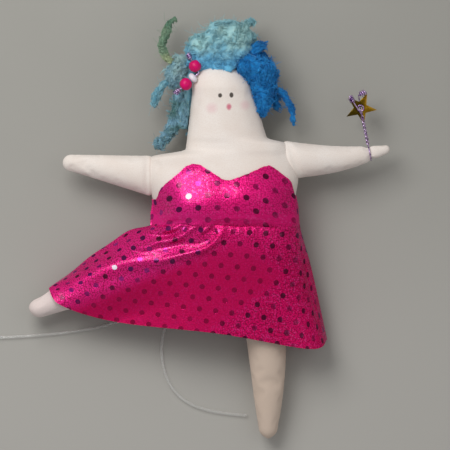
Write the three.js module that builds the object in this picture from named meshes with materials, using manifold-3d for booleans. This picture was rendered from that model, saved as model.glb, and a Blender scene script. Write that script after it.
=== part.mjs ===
// Fairy tree topper: a stuffed cloth doll in a gathered dress, lying on its back.
// Millimetres. +X is the picture's right, +Y is towards the head, +Z is up, out of the doll's front.
// The doll's own left and right name the limbs, so its left arm is at +X.
import * as THREE from 'three';
import { mergeVertices } from 'three/addons/utils/BufferGeometryUtils.js';
import Module from 'manifold-3d';

const wasm = await Module();
wasm.setup();

// Cloth, seams and clearances
const clothWall = 0.6;
const seamGap = 0.3;
const fillGap = 0.4;
const hingeGap = 0.5;
const stitchSlope = 1.15;
const dressFit = 0.9;
const dressWall = 0.9;
const skirtEase = 2.4;
const restFlat = 0.5;

// Head and trunk
const crownY = 103;
const crownX = 6.2;
const crownHeight = 18.5;
const browWidth = 37;
const neckWidth = 51;
const neckX = 11.8;
const neckY = 54;
const headDepth = 31;
const trunkX = 9.4;
const trunkY = 5;
const trunkWidth = 94.4;
const trunkRise = 45;
const trunkDrop = 47;
const trunkTurn = 6;
const trunkDepth = 43;
const hipDepth = 36;

// Arms: lengths run from the stitch line to the tip
const rightShoulder = { x: -37.8, y: 32.6, turn: 180 };
const leftShoulder = { x: 53.2, y: 42.8, turn: 22.5 };
const armStitch = 25;
const armDepth = 20;
const armDroop = 4;
const rightArmLength = 53.5;
const rightArmShift = -8;
const handWidth = 10.4;
const handDepth = 8.6;
const leftArmLength = 58.4;
const leftArmShift = -16.3;
const leftArmBow = -2.4;
const leftArmBelly = 0.5;
const leftHandWidth = 5.6;
const leftHandDepth = 5.6;
const wristReach = 45.6;
const wristPinch = 0.3;

// Legs
const rightHip = { x: -28.5, y: -22, turn: 196.5 };
const leftHip = { x: 33, y: -36.5, turn: 270 };
const legStitch = 28;
const legDepth = 24;
const footWidth = 13.2;
const footDepth = 12.5;
const rightLegLength = 89;
const rightLegShift = 4;
const rightLegDroop = 6;
const leftLegLength = 96.3;
const leftLegShift = 4.4;
const leftLegBow = 1.6;
const leftLegBelly = 1.4;
const leftLegDroop = 8;

// Stitch threads
const threadDiameter = 0.4;
const knotDiameter = 1.3;

// Dress
const waistY = 1.2;
const armpitY = 18;
const bustPeakY = 39.5;
const bustDipY = 29.5;
const bodiceBackY = 24;
const leftPeakT = -0.42;
const dipT = 0.05;
const rightPeakT = 0.6;
const hemPoints = [[-100, -37.5], [-92, -48.5], [-57, -59], [7, -66.2], [63, -75.7], [74.3, -70]];
const hemLeftZ = 15;
const hemRightZ = 12;
const skirtFloor = 2.8;
const gatherDepth = 1.3;
const gatherCount = 9;

// Hair
const hairFit = 0.35;
const capThickness = 5;
const capBottomY = 62;

// Wire, beads and wand
const wireDiameter = 0.8;
const wireGap = 0.55;
const coilTurns = 3.5;
const coilRadius = 1.15;
const coilLead = 1.6;
const beadDiameter = 7.8;
const beadHole = 1.7;
const beadGap = 0.4;
const discDiameter = 6.6;
const discThickness = 3.6;
const beadPlane = 8.8;
const pinVertex = { x: -5.9, y: 96.8 };
const upperPinTurn = 121;
const lowerPinTurn = 221;
const wandTurn = 101.5;
const stemLength = 18.5;
const stemTwists = 4;
const starRadius = 10.3;
const starNotch = 4.3;
const starThickness = 0.5;
const starHole = 2.2;
const starTurn = -5.5;
const starReach = 4.6;

// Tie cord
const cordDiameter = 2;
const tieX = 8;
const tieY = -28;
const tabLength = 9;
const tabWidth = 5;
const tabThickness = 2.6;

// Where the tie lies on the table, hand placed, in the finished frame
const tieLeftRoute = [
  [-7, -28.5], [-17, -34], [-28, -42], [-38, -49], [-48, -54.5], [-57.5, -58.5], [-68, -61.9],
  [-80, -64.2], [-92, -65.8], [-104, -67], [-116, -67.9], [-126, -68.5], [-135, -68.7],
];
const tieRightRoute = [
  [21, -29.5], [25.5, -35.5], [23, -42], [14, -46], [2, -48.3], [-11, -50.3], [-21.5, -54.3],
  [-27.6, -62.5], [-29.8, -73], [-29.4, -84.5], [-26.2, -95.5], [-20, -104.5], [-12, -110.3], [-3, -113.8],
  [7, -115.9], [16, -117], [23.5, -117.7],
];

const bodyRim = clothWall + seamGap / 2;
const seamZ = trunkDepth / 2 + dressFit + dressWall - restFlat;
const degrees = Math.PI / 180;
const mix = (a, b, t) => a + (b - a) * t;
const clamp01 = (t) => Math.min(1, Math.max(0, t));
const ease = (t) => clamp01(t) ** 2 * (3 - 2 * clamp01(t));
const round = (t) => Math.sqrt(Math.max(0, 1 - t * t));
const spread = (j, n) => Math.sin((Math.PI / 2) * ((2 * j) / n - 1));
const vec = (x, y, z = 0) => new THREE.Vector3(x, y, z);

// Materials
const finish = (color, roughness = 0.85, metalness = 0) =>
  new THREE.MeshStandardMaterial({ color, roughness, metalness });
const cotton = finish(0xe9d9cd);
const fibre = finish(0xf4f2ee, 0.95);
const thread = finish(0xe4d3c6);
const foilPink = finish(0xd81468, 0.35, 0.3);
const aquaWool = finish(0x6fa9b0, 0.95);
const blueWool = finish(0x1f6fb5, 0.95);
const greenWool = finish(0x7f9c85, 0.95);
const pinkWood = finish(0xd60f63, 0.4);
const whiteWood = finish(0xece6ea, 0.4);
const purpleWire = finish(0x8d6aa0, 0.25, 1);
const goldSheet = finish(0x9a7320, 0.2, 1);
const clearCord = finish(0xdedcd8, 0.15);

// Geometry helpers

function closedGeometry(points, index) {
  const position = new Float32Array(points.flatMap((p) => [p.x, p.y, p.z]));
  let volume = 0;
  for (let k = 0; k < index.length; k += 3) {
    const [a, b, c] = [points[index[k]], points[index[k + 1]], points[index[k + 2]]];
    volume += a.dot(b.clone().cross(c));
  }
  const outward = volume < 0 ? index.slice().reverse() : index;
  const geometry = new THREE.BufferGeometry();
  geometry.setAttribute('position', new THREE.BufferAttribute(position, 3));
  geometry.setIndex(outward);
  geometry.computeVertexNormals();
  return geometry;
}

// A closed sheet between two faces given on one grid, with walls round its rim
function slab(rows, cols, top, bottom) {
  const points = [];
  const index = [];
  const layer = (rows + 1) * (cols + 1);
  const at = (i, j) => i * (cols + 1) + j;
  for (const face of [top, bottom]) {
    for (let i = 0; i <= rows; i++) {
      for (let j = 0; j <= cols; j++) points.push(face(i, j));
    }
  }
  const quad = (a, b, c, d) => index.push(a, b, c, a, c, d);
  for (let i = 0; i < rows; i++) {
    for (let j = 0; j < cols; j++) {
      const [a, b, c, d] = [at(i, j), at(i, j + 1), at(i + 1, j + 1), at(i + 1, j)];
      quad(a, b, c, d);
      quad(layer + a, layer + d, layer + c, layer + b);
    }
  }
  const wall = (a, b) => quad(b, a, layer + a, layer + b);
  for (let j = 0; j < cols; j++) {
    wall(at(0, j), at(0, j + 1));
    wall(at(rows, j + 1), at(rows, j));
  }
  for (let i = 0; i < rows; i++) {
    wall(at(i + 1, 0), at(i, 0));
    wall(at(i, cols), at(i + 1, cols));
  }
  return closedGeometry(points, index);
}

// A round tube along a list of points, with its own radius at each point
function sweep(path, radiusAt, sides) {
  const points = [];
  const index = [];
  const tangents = path.map((p, k) =>
    path[Math.min(k + 1, path.length - 1)].clone().sub(path[Math.max(k - 1, 0)]).normalize());
  let normal = vec(0, 0, 1);
  if (Math.abs(tangents[0].z) > 0.9) normal = vec(1, 0, 0);
  path.forEach((p, k) => {
    normal = normal.clone().addScaledVector(tangents[k], -normal.dot(tangents[k])).normalize();
    const side = tangents[k].clone().cross(normal);
    for (let s = 0; s < sides; s++) {
      const turn = (2 * Math.PI * s) / sides;
      const radius = radiusAt(k / (path.length - 1), turn);
      points.push(p.clone().addScaledVector(normal, radius * Math.cos(turn))
        .addScaledVector(side, radius * Math.sin(turn)));
    }
  });
  for (let k = 0; k < path.length - 1; k++) {
    for (let s = 0; s < sides; s++) {
      const [a, b] = [k * sides + s, k * sides + ((s + 1) % sides)];
      index.push(a, b, b + sides, a, b + sides, a + sides);
    }
  }
  const last = (path.length - 1) * sides;
  for (let s = 1; s < sides - 1; s++) {
    index.push(0, s + 1, s, last, last + s, last + s + 1);
  }
  return closedGeometry(points, index);
}

function toSolid(geometry) {
  const bare = geometry.clone();
  bare.deleteAttribute('normal');
  bare.deleteAttribute('uv');
  const merged = mergeVertices(bare, 1e-4);
  return new wasm.Manifold(new wasm.Mesh({
    numProp: 3,
    vertProperties: merged.attributes.position.array,
    triVerts: new Uint32Array(merged.index.array),
  }));
}

function toGeometry(solid) {
  const { vertProperties, triVerts } = solid.getMesh();
  const geometry = new THREE.BufferGeometry();
  geometry.setAttribute('position', new THREE.BufferAttribute(new Float32Array(vertProperties), 3));
  geometry.setIndex([...triVerts]);
  geometry.computeVertexNormals();
  return geometry;
}

// The largest body that is left of a solid after others are cut from it
function cutBy(geometry, ...keepOuts) {
  let solid = toSolid(geometry);
  for (const keepOut of keepOuts) solid = solid.subtract(keepOut);
  const bodies = solid.decompose().sort((a, b) => b.volume() - a.volume());
  return toGeometry(bodies[0]);
}

const doll = new THREE.Group();
function add(name, geometry, material, parent = doll) {
  const mesh = new THREE.Mesh(geometry, material);
  mesh.name = name;
  parent.add(mesh);
  return mesh;
}

// Head and trunk: one pouch whose height over the seam plane is a smooth union of two lobes,
// pinched down along each stitch line

const browY = crownY - crownHeight;

function headLobe(x, y, grow) {
  const up = (y - browY) / (crownHeight + grow);
  if (up >= 1) return 0;
  const down = (browY - y) / (browY - neckY);
  const cap = up > 0 ? round(up) : 1;
  const half = (mix(browWidth, neckWidth, Math.max(0, down)) / 2 + grow) * cap;
  const across = (x - mix(crownX, neckX, (crownY - y) / (crownY - neckY))) / half;
  if (Math.abs(across) >= 1 || y < trunkY) return 0;
  return (headDepth / 2 + grow) * cap * round(across);
}

function trunkLobe(x, y, grow) {
  const turn = trunkTurn * degrees;
  const [dx, dy] = [x - trunkX, y - trunkY];
  const across = Math.abs(dx * Math.cos(turn) + dy * Math.sin(turn)) / (trunkWidth / 2 + grow);
  const along = -dx * Math.sin(turn) + dy * Math.cos(turn);
  const power = 3.2;
  const side = 1 - across ** power;
  const end = Math.abs(along) / ((along > 0 ? trunkRise : trunkDrop) + grow);
  const share = along > 0 ? side * (1 - end ** power) : side - end ** power;
  if (side <= 0 || end >= 1 || share <= 0) return 0;
  const hips = ease((waistY + 8 - y) / 22);
  return (mix(trunkDepth, hipDepth, hips) / 2 + grow) * share ** 0.55;
}

// A stitch line's outward direction, and how far a point lies inside it
const outward = (hinge) => vec(Math.cos(hinge.turn * degrees), Math.sin(hinge.turn * degrees));
const insideOf = (hinge, x, y) => -outward(hinge).dot(vec(x - hinge.x, y - hinge.y)) - hingeGap;
const stitchLines = [rightShoulder, leftShoulder, rightHip, leftHip];

function trunkCore(x, y, grow) {
  const lobes = (headLobe(x, y, grow) ** 6 + trunkLobe(x, y, grow) ** 6) ** (1 / 6);
  if (lobes <= 0) return 0;
  const ease4 = 4;
  let sum = lobes ** -ease4;
  for (const hinge of stitchLines) {
    const depth = insideOf(hinge, x, y) + (grow > 0 ? grow + bodyRim / stitchSlope : 0);
    if (depth <= 0) return 0;
    sum += (stitchSlope * depth) ** -ease4;
  }
  return sum ** (-1 / ease4);
}

const trunkHeight = (x, y, grow = 0) => {
  const base = grow > 0 ? seamGap / 2 : bodyRim;
  return base + trunkCore(x, y, grow);
};

const axisX = (y) => mix(trunkX, crownX, clamp01((y - trunkY) / (crownY - trunkY)));

// The outline's x at a height on the doll, to one side of the axis
function trunkEdge(y, side, grow = 0) {
  let inner = axisX(y);
  let outer = inner + side * trunkWidth;
  for (let k = 0; k < 40; k++) {
    const middle = (inner + outer) / 2;
    if (trunkCore(middle, y, grow) > 0) inner = middle;
    else outer = middle;
  }
  return inner;
}

const acrossTrunk = (y, t, grow = 0) =>
  mix(trunkEdge(y, -1, grow), trunkEdge(y, 1, grow), (t + 1) / 2);

const hipY = leftHip.y + hingeGap;
const rowSpan = (from, to, count) =>
  Array.from({ length: count }, (_, k) => mix(from, to, k / count));
const trunkRows = [
  ...[86, 66, 46, 24].map((angle) => browY + crownHeight * Math.sin(angle * degrees)),
  ...rowSpan(browY, neckY + 4, 3),
  ...rowSpan(neckY + 4, neckY - 14, 6),
  ...rowSpan(neckY - 14, hipY + 8, 8),
  hipY + 8, hipY + 4, hipY + 1.2, hipY + 0.02,
];
const trunkColumns = 10;

function trunkPanel(side) {
  const rows = trunkRows.length - 1;
  const edges = trunkRows.map((y) => [trunkEdge(y, -1), trunkEdge(y, 1)]);
  const face = (inset) => (i, j) => {
    const x = mix(...edges[i], (spread(j, trunkColumns) + 1) / 2);
    const open = i === 0 || i === rows || j === 0 || j === trunkColumns;
    const height = open ? bodyRim : trunkHeight(x, trunkRows[i]);
    return vec(x, trunkRows[i], seamZ + side * (height - inset));
  };
  return slab(rows, trunkColumns, face(0), face(clothWall));
}

function trunkFilling() {
  const rows = trunkRows.slice(1, -2);
  const face = (side) => (i, j) => {
    const x = acrossTrunk(rows[i], spread(j + 1, trunkColumns));
    const height = trunkHeight(x, rows[i]) - clothWall - fillGap;
    return vec(x, rows[i], seamZ + side * Math.max(height, 0.1));
  };
  return slab(rows.length - 1, trunkColumns - 2, face(1), face(-1));
}

add('torso_front', trunkPanel(1), cotton);
add('torso_back', trunkPanel(-1), cotton);
add('torso_stuffing', trunkFilling(), fibre);

// Limbs: a pouch along its own +X from the stitch line to a round tip, tapering in width and depth

function limb(spec) {
  const { length, stitch, tipWidth, depth, tipDepth, shift = 0, bow = 0, belly = 0, wrist } = spec;
  const tip = length - tipWidth / 2;
  const rise = depth * 0.8;
  const along = (s) => clamp01(s / tip);
  const pinch = (s) => (wrist ? 1 - wristPinch * Math.exp(-(((s - wrist) / 2) ** 2)) : 1);
  const cap = (s) => (s > tip ? round((s - tip) / (tipWidth / 2)) : 1);
  const halfWidth = (s) =>
    (mix(stitch, tipWidth, along(s)) / 2 + belly * Math.sin(Math.PI * along(s))) * pinch(s) * cap(s);
  const centre = (s) => shift * along(s) + bow * Math.sin(Math.PI * along(s));
  const lens = (s) => (1 - (1 - clamp01((s - hingeGap) / rise)) ** 2) ** 0.95;
  const halfDepth = (s) =>
    (mix(depth, tipDepth, along(s)) / 2 - bodyRim) * lens(s) * pinch(s) * cap(s);
  const height = (s, t) => bodyRim + halfDepth(s) * Math.max(0, 1 - t * t) ** 0.6;
  return { length, tip, tipWidth, halfWidth, halfDepth, centre, height };
}

function limbRows(shape, count, wrist) {
  const round = [35, 62, 84].map((a) => shape.tip + (shape.tipWidth / 2) * Math.sin(a * degrees));
  const start = [hingeGap, hingeGap + 1.5];
  if (!wrist) return [...start, ...rowSpan(hingeGap + 5, shape.tip, count), shape.tip, ...round];
  const waist = [-4, -2, -0.7, 0.7, 2, 4].map((step) => wrist + step);
  return [...start, ...rowSpan(hingeGap + 5, wrist - 4, count), ...waist, shape.tip, ...round];
}

const limbColumns = 6;

function limbPanel(shape, rows, side) {
  const cols = limbColumns;
  const last = rows.length - 1;
  const face = (inset) => (i, j) => {
    const t = spread(j, cols);
    const open = i === 0 || i === last || j === 0 || j === cols;
    const height = open ? bodyRim : shape.height(rows[i], t);
    const y = shape.centre(rows[i]) + t * shape.halfWidth(rows[i]);
    return vec(rows[i], y, side * (height - inset));
  };
  return slab(last, cols, face(0), face(clothWall));
}

function limbFilling(shape, rows) {
  const inner = rows.slice(2, -1);
  const face = (side) => (i, j) => {
    const t = spread(j + 1, limbColumns);
    const y = shape.centre(inner[i]) + t * shape.halfWidth(inner[i]);
    return vec(inner[i], y, side * Math.max(shape.height(inner[i], t) - clothWall - fillGap, 0.1));
  };
  return slab(inner.length - 1, limbColumns - 2, face(1), face(-1));
}

// A limb's group stands at its stitch line: +X outward, tipped down by its droop
function addLimb(name, hinge, droop, spec) {
  const shape = limb(spec);
  const rows = limbRows(shape, spec.rows, spec.wrist);
  const group = new THREE.Group();
  group.position.set(hinge.x, hinge.y, seamZ);
  group.rotation.set(0, droop * degrees, hinge.turn * degrees, 'ZYX');
  doll.add(group);
  add(`${name}_front`, limbPanel(shape, rows, 1), cotton, group);
  add(`${name}_back`, limbPanel(shape, rows, -1), cotton, group);
  add(`${name}_stuffing`, limbFilling(shape, rows), fibre, group);
  group.updateMatrixWorld(true);
  return { group, shape, rows };
}

const arm = { stitch: armStitch, depth: armDepth };
const rightArm = addLimb('right_arm', rightShoulder, armDroop, {
  ...arm, length: rightArmLength, tipWidth: handWidth, tipDepth: handDepth, shift: rightArmShift, rows: 4,
});
const leftArm = addLimb('left_arm', leftShoulder, armDroop, {
  ...arm, length: leftArmLength, tipWidth: leftHandWidth, tipDepth: leftHandDepth, shift: leftArmShift,
  bow: leftArmBow, belly: leftArmBelly, wrist: wristReach, rows: 4,
});
const leg = { stitch: legStitch, depth: legDepth, tipWidth: footWidth, tipDepth: footDepth, rows: 5 };
const rightLeg = addLimb('right_leg', rightHip, rightLegDroop, {
  ...leg, length: rightLegLength, shift: rightLegShift,
});
const leftLeg = addLimb('left_leg', leftHip, leftLegDroop, {
  ...leg, length: leftLegLength, shift: leftLegShift, bow: leftLegBow, belly: leftLegBelly,
});

// Stitch threads: each lies on its stitch line with a knot at both ends

function stitchThread(length) {
  const half = length / 2;
  const knot = knotDiameter / 2;
  const profile = [
    [0, -half - knot * 2], [knot * 0.7, -half - knot * 1.7], [knot, -half - knot],
    [knot * 0.7, -half - knot * 0.3], [threadDiameter / 2, -half],
  ];
  const mirrored = profile.map(([r, y]) => [r, -y]).reverse();
  const points = [...profile, ...mirrored].map(([r, y]) => new THREE.Vector2(r, y));
  return new THREE.LatheGeometry(points, 8);
}

function addThread(name, hinge, length) {
  const mesh = add(name, stitchThread(length + 0.8), thread);
  mesh.position.set(hinge.x, hinge.y, seamZ);
  mesh.rotation.z = hinge.turn * degrees;
}

addThread('shoulder_thread_right', rightShoulder, armStitch);
addThread('shoulder_thread_left', leftShoulder, armStitch);
addThread('hip_thread_right', rightHip, legStitch);
addThread('hip_thread_left', leftHip, legStitch);

// Bodice: two panels over the trunk, from the waist up to a sweetheart edge in front

const necklineKnots = [
  [-1, armpitY], [leftPeakT, bustPeakY], [dipT, bustDipY], [rightPeakT, bustPeakY], [1, armpitY],
];

function neckline(t) {
  const k = necklineKnots.findLastIndex(([knot]) => knot <= t);
  if (k >= necklineKnots.length - 1) return armpitY;
  const [[t0, y0], [t1, y1]] = [necklineKnots[k], necklineKnots[k + 1]];
  return mix(y0, y1, ease((t - t0) / (t1 - t0)));
}

const backline = (t) => mix(armpitY, bodiceBackY, ease((1 - Math.abs(t)) * 2));

function bodicePanel(side, topEdge) {
  const [rows, cols] = [6, 2 * trunkColumns];
  const face = (grow) => (i, j) => {
    const t = spread(j, cols);
    const y = mix(waistY, topEdge(t), i / rows);
    const x = acrossTrunk(y, t, grow);
    const open = j === 0 || j === cols;
    const height = open ? seamGap / 2 : trunkHeight(x, y, grow);
    return vec(x, y, Math.max(seamZ + side * height, 0));
  };
  return slab(rows, cols, face(dressFit + dressWall), face(dressFit));
}

add('bodice_front', bodicePanel(1, neckline), foilPink);
add('bodice_back', bodicePanel(-1, backline), foilPink);

// Skirt: two panels from the waist to the hem, drawn over the hips and legs like a tight sheet

const hemCurve = new THREE.SplineCurve(hemPoints.map(([x, y]) => new THREE.Vector2(x, y)));
const [skirtRows, skirtCols] = [9, 22];

function limbTop(limbParts, x, y, side, grow) {
  const local = limbParts.group.worldToLocal(vec(x, y, seamZ));
  const { shape } = limbParts;
  const s = Math.min(Math.max(local.x, hingeGap), shape.length);
  const t = (local.y - shape.centre(s)) / (shape.halfWidth(s) + grow);
  if (local.x < -grow || local.x > shape.length + grow || Math.abs(t) >= 1) return -Infinity;
  const height = side * (shape.height(s, t) + grow);
  return side * (limbParts.group.localToWorld(vec(local.x, local.y, height)).z - seamZ);
}

function skirtGrid(side) {
  const top = waistY - seamGap;
  const plan = (i, j) => {
    const [v, s] = [i / skirtRows, j / skirtCols];
    const waistX = acrossTrunk(top, mix(-1, 1, s), dressFit + dressWall);
    const hem = hemCurve.getPoint(s);
    const flare = 4 * Math.sin(Math.PI * v) * (1 - s) ** 3;
    return [mix(waistX, hem.x, v), mix(top, hem.y, v) + flare];
  };
  const rim = (i, j) => {
    const hemZ = j === 0 ? hemLeftZ : hemRightZ;
    return side * (mix(seamZ, hemZ, i / skirtRows) - seamZ) + seamGap / 2;
  };
  const grid = [];
  for (let i = 0; i <= skirtRows; i++) {
    for (let j = 0; j <= skirtCols; j++) {
      const [x, y] = plan(i, j);
      const grow = mix(dressFit + 0.2, skirtEase, ease((waistY - y) / 12));
      const edge = j === 0 || j === skirtCols;
      const trunk = trunkCore(x, y, grow) > 0 ? trunkHeight(x, y, grow) : -Infinity;
      const legs = [rightLeg, leftLeg].map((part) => limbTop(part, x, y, side, grow));
      const waist = trunkHeight(x, y, dressFit);
      const support = i === 0 ? waist : Math.max(trunk, ...legs);
      grid.push({ x, y, edge, support, z: edge ? rim(i, j) : Math.max(support, 2), held: edge || i === 0 });
    }
  }
  const at = (i, j) => grid[i * (skirtCols + 1) + j];
  const most = (y) => (side < 0 ? seamZ - skirtFloor * ease((waistY - y) / 12) : Infinity);
  for (let pass = 0; pass < 400; pass++) {
    for (let i = 1; i <= skirtRows; i++) {
      for (let j = 1; j < skirtCols; j++) {
        const below = i < skirtRows ? at(i + 1, j) : at(i - 1, j);
        const mean = (at(i - 1, j).z + below.z + at(i, j - 1).z + at(i, j + 1).z) / 4;
        at(i, j).z = Math.max(mean, at(i, j).support);
      }
    }
  }
  const gather = (i, j) => {
    const wave = 0.5 - 0.5 * Math.cos((2 * Math.PI * gatherCount * j) / skirtCols);
    const v = i / skirtRows;
    return gatherDepth * wave * Math.sin(Math.PI * Math.sqrt(v)) ** 2;
  };
  return (lift) => (i, j) => {
    const p = at(i, j);
    const fold = p.edge ? 0 : gather(i, j);
    const inner = Math.min(p.z + fold, Math.max(p.support, most(p.y) - dressWall));
    return vec(p.x, p.y, seamZ + side * Math.min(inner + lift, side < 0 ? seamZ : Infinity));
  };
}

const skirtFront = skirtGrid(1);
const skirtBack = skirtGrid(-1);
add('skirt_front', slab(skirtRows, skirtCols, skirtFront(dressWall), skirtFront(0)), foilPink);
add('skirt_back', slab(skirtRows, skirtCols, skirtBack(dressWall), skirtBack(0)), foilPink);

// Wire work: every wire is one unbroken round tube

const wireRadius = wireDiameter / 2;

// A coiled wire end that starts on the wire's line and winds round it
function coil(start, direction) {
  const along = direction.clone().normalize();
  const across = vec(0, 0, 1).addScaledVector(along, -along.z).normalize();
  const third = along.clone().cross(across);
  const pitch = wireDiameter + wireGap;
  const steps = Math.round(coilTurns * 8);
  return Array.from({ length: steps }, (_, k) => {
    const turn = ((k + 1) / 8) * 2 * Math.PI;
    const radius = coilRadius * ease((k + 1) / 5);
    return start.clone().addScaledVector(along, (turn / (2 * Math.PI)) * pitch + coilLead)
      .addScaledVector(across, radius * Math.cos(turn)).addScaledVector(third, radius * Math.sin(turn));
  });
}

// The least clear gap between parts of one wire that are not neighbours along it
function leastGap(path, diameter) {
  const dense = [];
  let run = 0;
  for (let k = 0; k < path.length - 1; k++) {
    const length = path[k].distanceTo(path[k + 1]);
    const count = Math.ceil(length / 0.2);
    for (let n = 0; n < count; n++) {
      dense.push({ at: run + (length * n) / count, point: path[k].clone().lerp(path[k + 1], n / count) });
    }
    run += length;
  }
  let least = Infinity;
  for (const a of dense) {
    for (const b of dense) {
      if (b.at - a.at > 2.6 * diameter) least = Math.min(least, a.point.distanceTo(b.point));
    }
  }
  return least - diameter;
}

// Hair wire: two straight pins that meet in a bend against the head, each with a coiled end
const pinZ = seamZ + beadPlane;
const pinAxis = (turn) => vec(Math.cos(turn * degrees), Math.sin(turn * degrees));
const upperAxis = pinAxis(upperPinTurn);
const lowerAxis = pinAxis(lowerPinTurn);
const vertex = vec(pinVertex.x, pinVertex.y, pinZ);
const onPin = (axis, reach) => vertex.clone().addScaledVector(axis, reach);
const upperBeadReach = 4.8;
const discReach = 5.0;
const lowerBeadReach = discReach + discThickness / 2 + beadGap + beadDiameter / 2 - 0.2;
const upperPinLength = upperBeadReach + beadDiameter / 2 + beadGap;
const lowerPinLength = lowerBeadReach + beadDiameter / 2 + beadGap;
const bend = [0.75, 0.25].map((k) => onPin(upperAxis, k))
  .concat([0.25, 0.75].map((k) => onPin(lowerAxis, k)));
const hairWirePath = [
  ...coil(onPin(upperAxis, upperPinLength), upperAxis).reverse(),
  onPin(upperAxis, upperPinLength), onPin(upperAxis, upperBeadReach), ...bend,
  onPin(lowerAxis, lowerBeadReach), onPin(lowerAxis, lowerPinLength),
  ...coil(onPin(lowerAxis, lowerPinLength), lowerAxis),
];
add('hair_wire', sweep(hairWirePath, () => wireRadius, 5), purpleWire);

// A bead is a turned shape with a bore along its own +Y
function bead(diameter, length, flat) {
  const bore = beadHole / 2;
  const half = length / 2;
  const outer = Array.from({ length: 9 }, (_, k) => {
    const turn = mix(-flat, flat, k / 8) * degrees;
    const swell = Math.sin(turn) / Math.sin(flat * degrees);
    return new THREE.Vector2(Math.max((diameter / 2) * Math.cos(turn), bore + 0.3), half * swell);
  });
  const profile = [new THREE.Vector2(bore, -half), ...outer, new THREE.Vector2(bore, half),
    new THREE.Vector2(bore, -half)];
  return new THREE.LatheGeometry(profile, 16);
}

function addBead(name, geometry, material, axis, reach) {
  const mesh = add(name, geometry, material);
  mesh.position.copy(onPin(axis, reach));
  mesh.quaternion.setFromUnitVectors(vec(0, 1), axis);
}

const beadLength = beadDiameter - 0.6;
addBead('bead_upper', bead(beadDiameter, beadLength, 68), pinkWood, upperAxis, upperBeadReach);
addBead('bead_disc', bead(discDiameter, discThickness, 55), whiteWood, lowerAxis, discReach);
addBead('bead_lower', bead(beadDiameter, beadLength, 68), pinkWood, lowerAxis, lowerBeadReach);

// Hair: a cap over the back of the head, then separate wool locks, each cut clear of the ones before it

function capShell(extra) {
  const [rows, cols] = [7, 8];
  const face = (grow) => (i, j) => {
    const y = mix(capBottomY - extra, crownY - 1.2 + extra, Math.sin((Math.PI / 2) * (i / rows)));
    const t = spread(j, cols);
    const x = acrossTrunk(Math.min(y, crownY - 0.4), t, grow);
    const open = j === 0 || j === cols;
    const height = open ? seamGap / 2 - extra : trunkHeight(x, y, grow);
    return vec(x, y, Math.max(seamZ - height, 0.3 - extra));
  };
  return slab(rows, cols, face(0.05), face(capThickness + extra));
}

function trunkKeepOut(grow) {
  const rows = [...trunkRows];
  rows[0] = crownY + grow - 0.05;
  const face = (side) => (i, j) => {
    const x = acrossTrunk(rows[i], spread(j, 16), grow);
    const open = i === 0 || i === rows.length - 1 || j === 0 || j === 16;
    return vec(x, rows[i], seamZ + side * (open ? 0.5 : trunkHeight(x, rows[i], grow) + 0.1));
  };
  return toSolid(slab(rows.length - 1, 16, face(1), face(-1)));
}

const headKeepOut = trunkKeepOut(hairFit + 0.25);
const capKeepOut = toSolid(capShell(hairFit));
const wireKeepOut = toSolid(sweep(hairWirePath, () => wireRadius + hairFit, 6));
const beadKeepOuts = [[upperAxis, upperBeadReach], [lowerAxis, lowerBeadReach], [lowerAxis, discReach]]
  .map(([axis, reach]) => {
    const ball = new THREE.SphereGeometry(beadDiameter / 2 + hairFit, 16, 10);
    return toSolid(ball.translate(...onPin(axis, reach).toArray()));
  });
add('hair_back_cap', cutBy(capShell(0), headKeepOut), aquaWool);

function lock(spine, widths, steps, sides, grow) {
  const curve = new THREE.CatmullRomCurve3(spine.map(([x, y, z]) => vec(x, y, seamZ + z)));
  const path = Array.from({ length: steps + 1 }, (_, k) => curve.getPoint(k / steps));
  const radiusAt = (u, turn) => {
    const place = Math.min(u * (widths.length - 1), widths.length - 1.001);
    const k = Math.floor(place);
    const lump = 1 + 0.08 * Math.sin(3 * turn + 9 * u) + 0.05 * Math.sin(2 * turn - 23 * u);
    return (mix(widths[k], widths[k + 1], place - k) / 2) * lump + grow;
  };
  return sweep(path, radiusAt, sides);
}

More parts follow.
